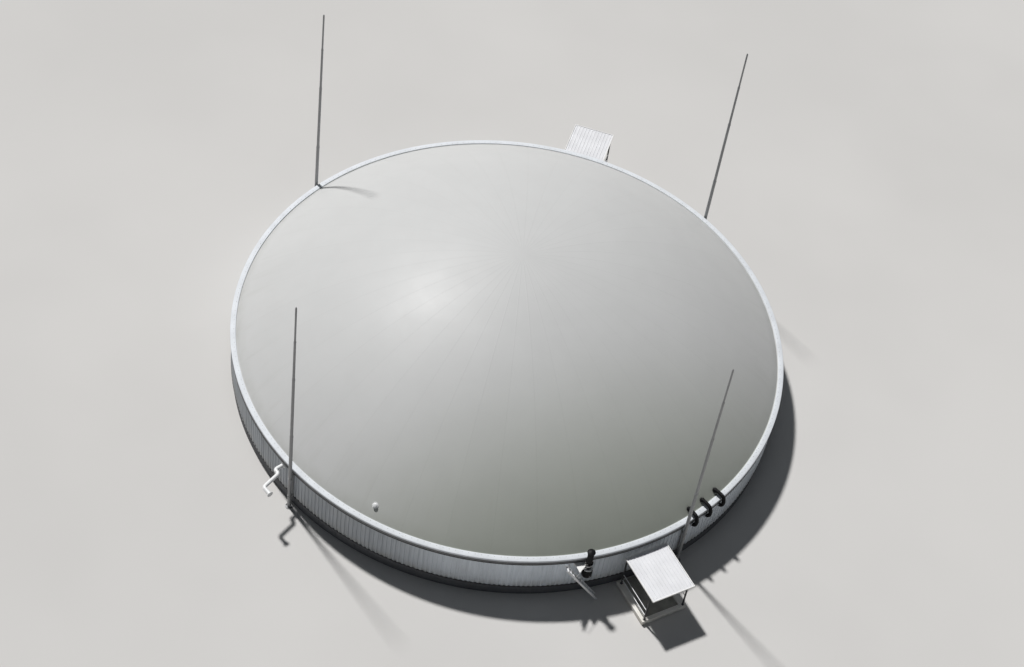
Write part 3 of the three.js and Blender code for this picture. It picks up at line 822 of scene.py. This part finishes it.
@dataclass
class Membrane:
    """The air-supported roof: a cap on the wall head, drawn in where the rail clamps it."""

    foot: float = 15.105
    rise: float = 6.3
    seat: float = 3.04
    hem: float = 15.2
    thick: float = 0.036
    sides: int = 480
    fine_from: float = 13.6
    pucker: float = 0.005
    pucker_from: float = 13.7
    billow: float = 0.008

    @property
    def sphere(self) -> float:
        """The radius of the cap's sphere."""
        return (self.foot ** 2 + self.rise ** 2) / (2 * self.rise)

    @property
    def middle(self) -> float:
        """The height of the sphere's middle."""
        return self.seat + self.rise - self.sphere

    def level(self, radius: float) -> float:
        """The height of the outer face at a distance from the axis."""
        return self.middle + sqrt(self.sphere ** 2 - radius ** 2)

    def lift(self, x: float, y: float, radius: float) -> float:
        """How far the skin strays from the sphere.

        Args:
            x: The point's first place.
            y: Its second place.
            radius: Its distance from the axis.

        Returns:
            The lift in metres.
        """
        turn = atan2(y, x)
        share = min(1.0, max(0.0, (radius - self.pucker_from) / (self.foot - self.pucker_from)))
        fold = noise.noise(Vector((cos(turn) * 30, sin(turn) * 30, radius * 0.5)))
        draw = sin(pi * share) if share > 0.5 else share * share * 4
        wide = noise.noise(Vector((x * 0.22, y * 0.22, 1.7))) * (1 - (radius / self.foot) ** 6)
        return fold * draw * self.pucker + wide * self.billow

    def build(self) -> None:
        """Builds the skin and the small white fitting near its front edge."""
        circle = round_outline(1.0, self.sides)
        radii = [self.fine_from * sin(pi / 2 * k / 30) for k in range(1, 30)]
        radii += [self.fine_from + (self.foot - self.fine_from) * k / 16 for k in range(17)]
        loops: list[list[Point]] = [[(0.0, 0.0, self.level(0.0))]]
        for r in radii:
            loops.append([(r * x, r * y, self.level(r) + self.lift(r * x, r * y, r)) for x, y in circle])
        under = self.seat - self.thick
        rest = [(self.hem, self.seat), (self.hem, under), (self.foot - 0.05, under)]
        rest += [(r, self.level(r) - self.thick) for r in ((self.foot - 0.06) * k / 9
                                                           for k in range(9, 0, -1))]
        loops += [[(r * x, r * y, z) for x, y in circle] for r, z in rest]
        loops.append([(0.0, 0.0, self.level(0.0) - self.thick)])
        skin = Shape(Coat.FABRIC)
        skin.loft(loops)
        skin.piece("membrane_skin", "roof_fabric", "roof_membrane")
        foot = Vector(polar(14.6, -123.6, self.level(14.6)))
        part = Shape(Coat.WHITE).at(aimed(foot, foot - Vector((0, 0, self.middle))))
        part.band(0.17, -0.02, 0.016, 36)
        part.bolt_ring(0.145, 10, 0.012, 0.016)
        part.turned([(0.11, 0.0), (0.11, 0.09), (0.122, 0.094), (0.122, 0.108), (0.10, 0.128),
                     (0.055, 0.142), (0.0, 0.146)])
        part.piece("membrane_fitting", "white_rail")


@dataclass
class RimRail:
    """The white rail that clamps the hem: four arcs with straps over their joints, and bolts; its skirt is
    painted dark for the shade under its top.
    """

    arcs: int = 4
    gap: float = 0.001
    strap_every: float = 7.5
    strap_wide: float = 0.3
    bolt_every: float = 1.25
    bolt_radius: float = 15.25

    def build(self) -> None:
        """Builds the arcs."""
        body = [(15.142, 3.0415), (15.205, 3.0415), (15.205, 3.003), (15.438, 3.003),
                (15.438, 2.972), (15.4465, 2.970), (15.448, 3.045), (15.446, 3.058),
                (15.438, 3.070), (15.424, 3.0765), (15.165, 3.094), (15.150, 3.0925), (15.142, 3.083)]
        skirt = [(15.405, 2.9995), (15.405, 2.786), (15.411, 2.781), (15.432, 2.781),
                 (15.436, 2.785), (15.436, 2.9995)]
        strap = [(15.155, 3.088), (15.424, 3.071), (15.439, 3.056), (15.442, 3.045), (15.442, 2.98),
                 (15.4498, 2.98), (15.4498, 3.046), (15.4475, 3.060), (15.4392, 3.0722),
                 (15.4247, 3.0789), (15.155, 3.0962)]
        span, half = 360.0 / self.arcs, self.strap_wide / 2
        for arc_number in range(self.arcs):
            start = arc_number * span
            rail = Shape(Coat.RAIL)
            rail.hoop(body, start + self.gap, start + span - self.gap)
            # The skirt's dark finish is painted shade under the rail's top.
            rail.coated(Coat.PAINTED_SHADE_SKIRT).hoop(skirt, start + self.gap, start + span - self.gap)
            for k in range(int(span / self.strap_every)):
                middle = start + (k + 0.5) * self.strap_every
                rail.hoop(strap, middle - half, middle + half)
                for side in (-0.6, 0.6):
                    for radius in (15.20, 15.34):
                        top = 3.0962 - (radius - 15.155) * 0.0641
                        rail.bolt(polar(radius, middle + side * half, top), UP, 0.008, True)
            for k in range(int(span / self.bolt_every)):
                foot = polar(self.bolt_radius, start + (k + 0.5) * self.bolt_every, 3.0880)
                rail.bolt(foot, UP, 0.016)
            rail.piece(f"rim_rail_{arc_number + 1}", "white_rail", f"clamp_rail_{arc_number + 1}")


@dataclass
class Mast:
    """A stepped lightning mast and the clamps that hold it to the wall."""

    number: int
    angle: float
    axis: float = 15.62
    top: float = 15.8
    back: float = 15.3965
    bore: float = 0.099
    clamp_levels: tuple[float, float] = (0.9, 2.4)

    def build(self) -> None:
        """Builds the mast, then its clamps."""
        pole = Shape(Coat.MAST, self.angle).at(moved(self.axis, 0.0, 0.0))
        pole.band(0.21, 0.0, 0.025, 40)
        pole.turned([(0.098, 0.02), (0.092, 6.0), (0.082, 6.12), (0.076, 10.5), (0.066, 10.62),
                     (0.061, 13.3), (0.050, 13.42), (0.048, self.top - 0.12),
                     (0.030, self.top - 0.04), (0.0, self.top)], 28)
        for radius, level in ((0.106, 0.025), (0.101, 5.9), (0.084, 10.42), (0.069, 13.24)):
            pole.band(radius, level, level + 0.07, 28)
        pole.bolt_ring(0.165, 8, 0.02, 0.025)
        web = [(0.0, 0.0), (0.105, 0.0), (0.105, 0.02), (0.02, 0.17), (0.0, 0.17)]
        for k in range(4):
            pole.at(spun(22.5 + 90 * k) @ sideways(0.088, 0.0, 0.022)).prism(web, -0.005, 0.005, 0.001)
        cover = pole.at(spun(90) @ upright(0.088, 0.0, 1.55))
        cover.prism(rectangle(0.075, 0.2, 0.025), 0.0, 0.014, 0.003)
        for level in (-0.075, 0.075):
            cover.bolt((0.0, level, 0.014), UP, 0.008, True)
        pole.piece(f"mast_{self.number}", "mast_steel", f"lightning_mast_{self.number}")
        self.clamps()

    def clamps(self) -> None:
        """Builds the wall channel with its two split collars."""
        hold = Shape(Coat.MAST, self.angle)
        back, front = self.back, self.back + 0.042
        side = [(back, -0.04), (front, -0.04), (front, -0.012), (front - 0.005, -0.012),
                (front - 0.005, -0.035), (back + 0.005, -0.035)]
        hold.prism([*side, *((x, -y) for x, y in reversed(side))], 0.78, 2.6)
        for level in (0.84, 1.40, 1.96, 2.54):
            hold.block((back, -0.10, level - 0.03), (back + 0.007, 0.10, level + 0.03), 0.002)
            for y in (-0.075, 0.075):
                hold.bolt((back + 0.007, y, level), OUT, 0.012)
        arm = [(front - 0.004, -0.045), (self.axis - 0.10, -0.028), (self.axis - 0.10, 0.028),
               (front - 0.004, 0.045)]
        collar = [(0.0, -0.045), (0.010, -0.042), (0.010, 0.042), (0.0, 0.045)]
        for level in self.clamp_levels:
            ring = hold.at(moved(self.axis, 0.0, level))
            for way in (-1, 1):
                y, lug = way * 0.028, way * 0.118
                hold.at(sideways(0.0, 0.0, level)).prism(arm, y - 0.004, y + 0.004, 0.001)
                hold.block((front, y - 0.02, level - 0.045), (front + 0.006, y + 0.02, level + 0.045), 0.002)
                hold.bolt((front + 0.006, way * 0.042, level), OUT, 0.01)
                for x in (-0.022, 0.006):
                    ring.block((x, lug - 0.018, -0.03), (x + 0.016, lug + 0.018, 0.03), 0.003)
                for x in (1, -1):
                    ring.bolt((x * 0.022, way * 0.12, 0.0), (x, 0, 0), 0.012)
            for start in (-86.0, 94.0):
                ring.loft([polar(self.bore + out, start + 172.0 * k / 14, z) for out, z in collar]
                          for k in range(15))
        hold.piece(f"mast_clamps_{self.number}", "mast_steel", f"mast_bracket_{self.number}")


class StationSide(Enum):
    """The two agitator stations, by their angle round the tank."""

    FRONT = -68.0
    REAR = 68.0


@dataclass
class Station:
    """A kerbed pad with a canopy, its handrails and the agitator's drive."""

    number: int
    side: StationSide
    near: float = 15.59
    far: float = 18.51
    half: float = 1.25
    top: float = 2.5
    kerb: float = 0.30
    pad: float = 0.15
    rows: tuple[float, float] = (15.70, 18.115)
    post_side: float = 1.16
    rails: tuple[float, float] = (0.65, 1.10)
    pitch: float = 0.2
    ribs: int = 12

    def build(self) -> None:
        """Builds the station's four pieces."""
        self.slab()
        self.canopy_frame()
        self.canopy_roof()
        Drive(self.number, self.side.value).build()

    def slab(self) -> None:
        """Casts the pad, its bed painted darker for the shade under the canopy, and the kerb round three
        sides.
        """
        cast = Shape(Coat.KERB, self.side.value)
        x0, x1, y = 15.5, 18.24, 1.335
        inner, flank = x1 - 0.22, y - 0.34
        cast.prism([(x0, -y), (x1 - 0.03, -y), (x1, -y + 0.03), (x1, y - 0.03), (x1 - 0.03, y), (x0, y),
                    (x0, flank), (inner, flank), (inner, -flank), (x0, -flank)], 0.0, self.kerb, 0.012)
        # Painted shade: the pad's bed is in the darker tank concrete while the kerb is pale, for the shade
        # under the canopy.
        bed = cast.coated(Coat.CONCRETE)
        bed.block((x0, -flank - 0.01, 0.0), (inner + 0.01, flank + 0.01, self.pad), 0.006)
        cast.piece(f"canopy_pad_{self.number}", "tank_concrete", f"station_pad_{self.number}")

    def canopy_frame(self) -> None:
        """Builds the posts, the beams of folded channel and the handrails."""
        steel = Shape(Coat.DARK, self.side.value)
        head, foot, side = self.top - 0.08, self.kerb + 0.012, self.post_side
        x0, x1 = self.rows
        for x in self.rows:
            for y in (-side, side):
                post = steel.at(moved(x, y, 0.0))
                post.prism(rectangle(0.08, 0.08, 0.012), foot, head - 0.004)
                post.block((-0.065, -0.065, self.kerb), (0.065, 0.065, foot), 0.002)
                post.at(spun(45)).bolt_ring(0.075, 4, 0.009, foot)
        web = [(0.0, 0.0), (0.06, 0.0), (0.06, 0.008), (0.007, 0.008), (0.007, 0.092),
               (0.06, 0.092), (0.06, 0.1), (0.0, 0.1)]
        middle, run = (x0 + x1) / 2, (x1 - x0) / 2
        for x, y, turn, reach in ((middle, -side - 0.04, 0, run), (middle, side + 0.04, 180, run),
                                  (x0 - 0.04, 0.0, -90, side), (middle - 0.03, 0.0, -90, side),
                                  (x1 + 0.04, 0.0, 90, side)):
            beam = steel.at(moved(x, y, head - 0.1) @ spun(turn) @ upright())
            beam.prism(web, -reach, reach)
        rail, cup = steel.coated(Coat.PALE), steel.coated(Coat.ZINC)
        for y in (-side, side):
            for level in self.rails:
                rail.rod((x0, y, level), (x1, y, level), 0.021, 16)
                for x, way in ((x0 + 0.04, 1), (x1 - 0.04, -1)):
                    cup.rod((x, y, level), (x + 0.012 * way, y, level), 0.036, 16)
        steel.piece(f"canopy_frame_{self.number}", "station_steel", f"station_frame_{self.number}")

    def canopy_roof(self) -> None:
        """Builds the flat roof: a folded edge round shallow ribbed sheets."""
        middle = (self.near + self.far) / 2
        edge = Shape(Coat.EDGE, self.side.value)
        long, wide, low = self.far - self.near, 2 * self.half, self.top - 0.08
        steps = ((0.0, low + 0.004), (0.0, self.top - 0.006), (0.006, self.top),
                 (0.038, self.top), (0.044, self.top - 0.006), (0.044, low + 0.004))
        edge.at(moved(middle, 0.0, 0.0)).loft(
            ([(x, y, z) for x, y in rectangle(long - 2 * off, wide - 2 * off)] for off, z in steps), True)
        bed, start = self.top - 0.034, -self.pitch * self.ribs / 2
        line = [(start, bed)]
        for y in (start + k * self.pitch for k in range(self.ribs)):
            line += [(y + 0.075, bed), (y + 0.088, bed + 0.018), (y + 0.112, bed + 0.018), (y + 0.125, bed)]
        line.append((-start, bed))
        sheet = edge.at(moved(middle, 0.0, 0.0) @ upright(), Coat.ROOF)
        sheet.prism([*reversed(line), (start, bed - 0.02), (-start, bed - 0.02)],
                    -long / 2 + 0.03, long / 2 - 0.03)
        for x in (self.near + 0.16, middle, self.far - 0.16):
            for k in range(self.ribs):
                edge.bolt((x, start + k * self.pitch + 0.03, bed), UP, 0.01, True)
        edge.piece(f"canopy_roof_{self.number}", "roof_sheet", f"station_roof_{self.number}")


@dataclass
class Drive:
    """An agitator drive: wall plate, bearing tube, gear case, finned motor and stand."""

    number: int
    angle: float
    face: float = 15.38
    level: float = 1.35
    tilt: float = 18.0
    plate: float = 0.64
    fins: int = 30

    def build(self) -> None:
        """Builds the drive along its tilted shaft."""
        part = Shape(Coat.DRIVE, self.angle)
        half, level = self.plate / 2, self.level
        for side, front, coat, chamfer in ((half + 0.05, 15.406, Coat.SHEET, 0.006),
                                           (half, 15.43, Coat.DRIVE, 0.008)):
            part.coated(coat).block((15.30, -side, level - side), (front, side, level + side), chamfer)
        edge = half - 0.045
        for k in range(5):
            off = -edge + k * (self.plate - 0.09) / 4
            for y, z in ((off, edge), (off, -edge), (edge, off), (-edge, off)):
                part.bolt((15.43, y, level + z), OUT, 0.016)
        axis = Vector((cos(radians(self.tilt)), 0.0, sin(radians(self.tilt))))
        foot = Vector((self.face, 0.0, level))
        along = aimed(foot, axis)
        shaft = part.at(along)
        shaft.turned([(0.15, 0.0), (0.15, 0.44)], 40)
        shaft.band(0.19, 0.05, 0.085, 40)
        shaft.flange(0.24, 0.48, 0.034, 12, 0.016)
        shaft.turned([(0.20, 0.515), (0.215, 0.53), (0.215, 0.60), (0.19, 0.62), (0.205, 0.70),
                      (0.215, 0.715), (0.215, 0.80), (0.205, 0.83), (0.17, 0.845)], 40)
        rib = [(0.17, 0.60), (0.214, 0.60), (0.214, 0.72), (0.17, 0.72)]
        for k in range(10):
            shaft.at(spun(36 * k) @ sideways()).prism(rib, -0.006, 0.006, 0.001)
        shaft.bolt_ring(0.19, 8, 0.014, 0.83)
        self.motor(part, along)
        self.stand(part, foot + axis * 1.23)
        part.piece(f"agitator_{self.number}", "drive_paint", f"agitator_drive_{self.number}")

    def motor(self, part: Shape, along: Matrix) -> None:
        """Builds the motor with its fins, cowl and terminal box.

        Args:
            part: The piece.
            along: The shaft's frame.
        """
        shaft, side = part.at(along), along @ spun(180)
        shaft.turned([(0.165, 0.84), (0.165, 0.885), (0.142, 0.89), (0.142, 1.46), (0.165, 1.465),
                      (0.165, 1.50)], 40)
        for k in range(self.fins):
            fin = shaft.at(spun(360 * (k + 0.5) / self.fins))
            fin.block((0.135, -0.003, 0.885), (0.164, 0.003, 1.47), 0.001)
        shaft.turned([(0.170, 1.485), (0.185, 1.49), (0.185, 1.62), (0.176, 1.655), (0.150, 1.676),
                      (0.120, 1.680), (0.118, 1.672), (0.0, 1.672)], 40)
        for ring in (0.028 + 0.019 * k for k in range(5)):
            shaft.coated(Coat.DARK).turned([(ring, 1.671), (ring, 1.679), (ring - 0.006, 1.679),
                                            (ring - 0.006, 1.671)], 28)
        box = part.at(side)
        box.block((0.14, -0.085, 1.02), (0.235, 0.085, 1.24), 0.008)
        box.block((0.231, -0.092, 1.013), (0.247, 0.092, 1.247), 0.005)
        for y in (-0.078, 0.078):
            for z in (1.03, 1.23):
                box.bolt((0.247, y, z), OUT, 0.007, True)
        part.coated(Coat.BLACK).rod(side @ Vector((0.19, 0.085, 1.09)), side @ Vector((0.19, 0.125, 1.09)),
                                    0.018)
        box.loft(([(0.18 + r * 0.75, 0.0, 1.38 + z * 0.75), (0.18 + r, 0.008, 1.38 + z),
                   (0.18 + r * 1.25, 0.0, 1.38 + z * 1.25), (0.18 + r, -0.008, 1.38 + z)]
                  for r, z in round_outline(0.030, 16)), True)

    def stand(self, part: Shape, seat: Vector) -> None:
        """Builds the stand under the motor.

        Args:
            part: The piece.
            seat: The point on the shaft that it carries.
        """
        foot = part.at(moved(seat.x, 0.0, 0.0), Coat.DARK)
        top = seat.z - 0.15
        foot.block((-0.15, -0.15, 0.152), (0.15, 0.15, 0.17), 0.003)
        foot.block((-0.05, -0.05, 0.165), (0.05, 0.05, top), 0.008)
        foot.block((-0.11, -0.12, top - 0.06), (0.11, 0.12, top - 0.045), 0.003)
        cheek = [(-0.09, 0.0), (0.09, 0.0), (0.09, 0.17), (-0.09, 0.11)]
        for side in (-1, 1):
            y = side * 0.105
            foot.at(sideways(0.0, 0.0, top - 0.05)).prism(cheek, y - 0.005, y + 0.005, 0.001)
            for x in (-0.115, 0.115):
                foot.bolt((x, side * 0.115, 0.17), UP, 0.016)


@dataclass
class Vent:
    """The safety vent: pot, riser and rain hood, with the pipe from the gas space."""

    angle: float = -80.1
    axis: float = 15.65
    radius: float = 0.16
    foot: float = 1.80
    top: float = 3.76
    inlet: float = 1.98
    wall: float = 15.397
    shelf: float = 2.68
    side: float = 0.16

    def build(self) -> None:
        """Builds the vent, then the bracket that carries it."""
        part = Shape(Coat.BLACK, self.angle)
        stack = part.at(moved(self.axis, 0.0, 0.0))
        r, foot, top = self.radius, self.foot, self.top
        stack.turned([(0.0, foot), (0.19, foot), (0.245, foot + 0.02), (0.272, foot + 0.065),
                      (0.274, foot + 0.46), (0.25, foot + 0.50), (0.18, foot + 0.535),
                      (r, foot + 0.55), (r, top)], 40)
        for radius, level, thick, bolts, size, coat in (
                (0.28, foot + 0.34, 0.018, 16, 0.012, Coat.BLACK), (0.26, 2.43, 0.022, 12, 0.014, Coat.PALE),
                (0.222, 2.90, 0.018, 8, 0.014, Coat.BLACK)):
            stack.coated(coat).flange(radius, level, thick, bolts, size)
        for low, high in ((3.23, 3.27), (3.58, 3.62), (top - 0.04, top + 0.005)):
            stack.band(r + 0.012, low, high)
        stack.turned([(0.211, top), (0.215, top + 0.006), (0.215, top + 0.042), (0.19, top + 0.062),
                      (0.055, top + 0.118), (0.0, top + 0.13)], 40)
        part.rod((15.30, 0.0, self.inlet), (self.axis - 0.06, 0.0, self.inlet), 0.08, 28)
        rose = part.at(aimed((15.40, 0.0, self.inlet), OUT))
        rose.band(0.16, -0.01, 0.018, 36)
        rose.bolt_ring(0.132, 8, 0.014, 0.018)
        handle = stack.at(moved(0.268, 0.06, foot + 0.09), Coat.ZINC)
        handle.rod((0, 0, 0), (0, 0, 0.14), 0.008)
        for level in (0.005, 0.135):
            handle.rod((-0.03, 0, level), (0.011, 0, level), 0.011)
        part.piece("vent_stack", "black_pipe", "safety_vent")
        self.bracket()

    def bracket(self) -> None:
        """Builds the pointed shelf on its wall plate."""
        part = Shape(Coat.EDGE, self.angle)
        back, level, side = self.wall, self.shelf, self.side
        shelf = [(back, -0.69), (16.05, -0.59), (15.69, -0.17), (15.80, -0.12), (15.80, side), (back, side)]
        part.prism(shelf, level, level + 0.016, 0.002)
        # Known fault: for this axis aimed() is turned half round, so each lip runs back from its corner.
        for start, end in zip(shelf[:5], shelf[1:]):
            edge = Vector((*end, 0.0)) - Vector((*start, 0.0))
            lip = part.at(aimed((*start, level - 0.045), UP) @ spun(degrees(atan2(edge.y, edge.x))))
            lip.block((0.002, 0.001, 0.0), (edge.length - 0.002, 0.007, 0.05), 0.001)
        part.block((back, -0.69, level - 0.22), (back + 0.012, side, level + 0.012), 0.003)
        for y in (-0.63, -0.42, -0.23, 0.11):
            for z in (level - 0.19, level - 0.08):
                part.bolt((back + 0.012, y, z), OUT, 0.014)
        for y, reach in ((-0.52, 0.54), (-0.19, 0.28), (0.145, 0.38)):
            web = [(back + 0.01, -0.21), (back + reach, 0.0), (back + 0.01, 0.0)]
            part.at(sideways(0.0, y, level)).prism(web, -0.004, 0.004, 0.001)
        hold = part.at(moved(self.axis, 0.0, level))
        hold.band(0.181, 0.014, 0.06, 36)
        for way in (-1, 1):
            y = way * 0.196
            hold.block((-0.02, y - 0.02, 0.016), (0.02, y + 0.02, 0.058), 0.003)
            hold.bolt((0.02, way * 0.201, 0.036), OUT, 0.01)
        part.piece("vent_shelf", "light_steel", "vent_bracket")


@dataclass
class Ladder:
    """The steep ladder along the wall: channel stiles, flat treads and two ties."""

    angle: float = -81.7
    near: float = 15.70
    width: float = 0.38
    foot: float = 1.11
    head: float = -0.83
    top: float = 3.00
    treads: int = 11
    tread: float = 0.045

    def build(self) -> None:
        """Builds the ladder."""
        part = Shape(Coat.PALE, self.angle)
        run = self.head - self.foot
        reach, edge = 0.055 / sin(atan2(self.top, run)), 0.006
        for x, way in ((self.near, 1), (self.near + self.width, -1)):
            deep, web = x + 0.03 * way, x + 0.005 * way
            section = [(x, -reach), (deep, -reach), (deep, edge - reach), (web, edge - reach),
                       (web, reach - edge), (deep, reach - edge), (deep, reach), (x, reach)]
            ends = ((self.foot, 0.0), (self.head, self.top))
            part.loft([(a, y + b, z) for a, b in section] for y, z in ends)
        x0, x1, half = self.near + 0.006, self.near + self.width - 0.006, self.tread
        for share in (k / (self.treads + 0.6) for k in range(1, self.treads + 1)):
            tread = part.at(moved(0.0, self.foot + run * share, self.top * share))
            tread.block((x0, -half, -0.004), (x1, half, 0.012), 0.003)
            for y in (half - 0.008, -half):
                tread.block((x0, y, -0.02), (x1, y + 0.008, 0.010), 0.002)
            bars = tread.coated(Coat.ZINC)
            for y in (-0.022, 0.0, 0.022):
                bars.block((x0 + 0.02, y - 0.004, 0.010), (x1 - 0.02, y + 0.004, 0.015), 0.001)
        for share in (0.42, 0.84):
            tie = part.at(moved(0.0, self.foot + run * share, self.top * share))
            tie.block((15.396, -0.05, -0.06), (15.404, 0.05, 0.06), 0.002)
            tie.block((15.40, -0.025, -0.004), (self.near + 0.012, 0.025, 0.004), 0.001)
            for level in (-0.04, 0.04):
                tie.bolt((15.404, 0.0, level), OUT, 0.01)
        part.piece("wall_ladder", "light_steel", "service_ladder")
        LOG.info("ladder: %.2f m along the stile", hypot(run, self.top))


@dataclass
class Duct:
    """A ribbed air duct from the membrane over the rail, down past its foot and into the wall."""

    number: int
    angle: float
    start: float = 14.9
    crest: float = 3.33
    drop: float = 15.61
    radius: float = 0.105
    inlet: float = 2.5
    pitch: float = 0.048
    groove: float = 0.009

    def build(self, roof: Membrane) -> None:
        """Builds the duct.

        Args:
            roof: The membrane that it stands on.
        """
        part = Shape(Coat.BLACK, self.angle)
        start, drop, inlet, level = self.start, self.drop, self.inlet, roof.level(self.start)
        points = [(start - 0.02, 0, level - 0.03), (start + 0.06, 0, level + 0.07),
                  (start + 0.33, 0, self.crest - 0.01), (drop - 0.11, 0, self.crest - 0.08),
                  (drop, 0, self.crest - 0.33), (drop, 0, inlet + 0.24),
                  (drop - 0.065, 0, inlet + 0.07), (drop - 0.18, 0, inlet), (15.38, 0, inlet)]
        part.tube(smooth_route(points, self.pitch / 4), self.ribbed)
        collar = part.at(aimed(points[1], (0.62, 0.0, 0.78)))
        collar.turned([(0.15, -0.14), (0.128, -0.06), (0.122, 0.02), (0.115, 0.03)], 36)
        patch = part.at(aimed((start - 0.01, 0.0, level - 0.012), (start, 0.0, level - roof.middle)),
                        Coat.FABRIC)
        patch.band(0.21, -0.02, 0.014, 40)
        patch.bolt_ring(0.185, 12, 0.01, 0.014)
        end = part.at(aimed((15.397, 0.0, inlet), OUT))
        for radius, low, high, coat in ((0.15, -0.01, 0.014, Coat.SHEET), (0.116, 0.0, 0.05, Coat.BLACK),
                                        (0.120, 0.022, 0.042, Coat.ZINC)):
            end.coated(coat).band(radius, low, high, 36)
        end.bolt_ring(0.134, 8, 0.008, 0.014)
        part.piece(f"duct_{self.number}", "black_pipe", f"air_duct_{self.number}")

    def ribbed(self, run: float) -> float:
        """The duct's radius at a length along it."""
        return self.radius - self.groove * (0.5 + 0.5 * cos(tau * run / self.pitch))


@dataclass
class GasPipe:
    """The gas pipe: out of the wall, past the mast, and along the tank to its flange."""

    angle: float = -145.4
    radius: float = 0.105
    level: float = 2.5
    near: float = 15.93
    jog: float = 0.33
    far: float = 17.06
    turn: float = 0.60
    end: float = 1.15

    def build(self) -> None:
        """Builds the pipe with its weld rings and flanges."""
        part = Shape(Coat.WHITE, self.angle)
        r, z = self.radius, self.level
        corners = [(15.30, 0, z), (self.near, 0, z), (self.near, self.jog, z),
                   (self.far, self.turn, z), (self.far, self.end, z)]
        part.tube(filleted(corners, 0.15, 10), lambda run: r, 36)
        for corner, before, after in zip(corners[1:], corners, corners[2:]):
            here = Vector(corner)
            for other in (before, after):
                way = (Vector(other) - here).normalized()
                part.at(aimed(here + way * 0.152, way)).band(r + 0.004, -0.004, 0.004, 36)
        wall = part.at(aimed((15.40, 0.0, z), OUT))
        wall.band(0.175, -0.02, 0.026, 40)
        wall.bolt_ring(0.145, 8, 0.016, 0.026)
        end = part.at(aimed((self.far, self.end, z), (0, 1, 0)))
        end.turned([(r + 0.002, -0.07), (0.128, -0.012), (0.166, -0.006), (0.17, -0.002), (0.17, 0.022),
                    (0.167, 0.026), (0.135, 0.026), (0.133, 0.0295), (0.097, 0.0295)], 40)
        end.coated(Coat.RUBBER).turned([(0.095, 0.024), (0.095, 0.0305), (0.092, 0.0305), (0.088, 0.026),
                                        (0.0, 0.0259)], 40)
        end.bolt_ring(0.15, 8, 0.014, -0.004, -1)
        for x, y in round_outline(0.15, 8):
            end.at(moved(x, y, 0.0), Coat.BOLT).turned([(0.007, 0.02), (0.007, 0.034), (0.005, 0.037)], 10)
        part.piece("gas_pipe_run", "gas_pipe", "gas_outlet")


@dataclass
class Studio:
    """A plain pale floor, soft light from behind on the left, and the camera."""

    floor_size: float = 900.0
    floor_level: float = -0.004
    floor_tint: Colour = (0.60, 0.59, 0.575)
    sky_tint: Colour = (0.84, 0.91, 1.0)
    sky_power: float = 0.105
    sun_azimuth: float = 122.0
    sun_height: float = 57.0
    sun_tint: Colour = (1.0, 0.99, 0.98)
    sun_power: float = 3.6
    sun_spread: float = 4.0
    eye: Point = (-15.18, -71.14, 84.81)
    level_ahead: Point = (0.0, 0.6398, -0.7685)
    aim: Point = (0.0, -0.6, 3.6)
    lens: float = 69.0

    def build(self) -> None:
        """Lays the floor, lights it, and sets the camera where the photograph's was, with a longer lens."""
        bpy.context.scene.view_settings.view_transform = "Standard"
        mesh = bpy.data.meshes.new("studio_floor")
        half = self.floor_size / 2
        mesh.from_pydata([(x * half, y * half, self.floor_level) for x, y in
                          ((-1, -1), (1, -1), (1, 1), (-1, 1))], [], [(0, 1, 2, 3)])
        mix = Recipe("studio_floor")
        shade = mix.ease(mix.cloud(mix.point(), 0.05, 3.0), 0.3, 0.7, 0.97, 1.03)
        mesh.materials.append(mix.surface(mix.shaded(self.floor_tint, shade), 0.9))
        floor = self.placed("studio_floor", mesh)
        world = bpy.data.worlds.new("soft_sky")
        bpy.context.scene.world = world
        world.use_nodes = True
        sky = world.node_tree.nodes["Background"]
        sky.inputs["Color"].default_value = (*self.sky_tint, 1.0)
        sky.inputs["Strength"].default_value = self.sky_power
        lamp = bpy.data.lights.new("key_light", "SUN")
        lamp.energy = self.sun_power
        lamp.angle = radians(self.sun_spread)
        lamp.color = self.sun_tint
        way = Vector(polar(cos(radians(self.sun_height)), self.sun_azimuth, sin(radians(self.sun_height))))
        self.placed("key_light", lamp).rotation_euler = way.to_track_quat("Z", "Y").to_euler()
        data = bpy.data.cameras.new("view")
        data.lens = self.lens
        data.sensor_width = 36.0
        data.clip_start, data.clip_end = 1.0, 2000.0
        camera = self.placed("view", data)
        ahead = Vector(self.level_ahead)
        way = (Vector(self.aim) - Vector(self.eye)).normalized()
        camera.rotation_mode = "QUATERNION"
        camera.rotation_quaternion = ahead.rotation_difference(way) @ ahead.to_track_quat("-Z", "Y")
        camera.location = self.eye
        bpy.context.scene.camera = camera

    def placed(self, name: str, data: bpy.types.ID) -> bpy.types.Object:
        """Puts something into the scene.

        Args:
            name: What it is called.
            data: Its mesh, light or camera.

        Returns:
            The object.
        """
        made = bpy.data.objects.new(name, data)
        bpy.context.scene.collection.objects.link(made)
        return made


def main() -> None:
    """Builds the digester piece by piece, then the studio."""
    logging.basicConfig(level=logging.INFO, format="%(message)s")
    roof = Membrane()
    for part in (Tank(), Plinth(), Sheeting(), roof, RimRail()):
        part.build()
    for number, angle in enumerate((-142.2, -59.0, 36.0, 132.0), 1):
        Mast(number, angle).build()
    for number, side in enumerate(StationSide, 1):
        Station(number, side).build()
    Vent().build()
    Ladder().build()
    for number, angle in enumerate((-56.3, -52.6, -48.7), 1):
        Duct(number, angle).build(roof)
    GasPipe().build()
    Studio().build()


if __name__ == "__main__":
    main()
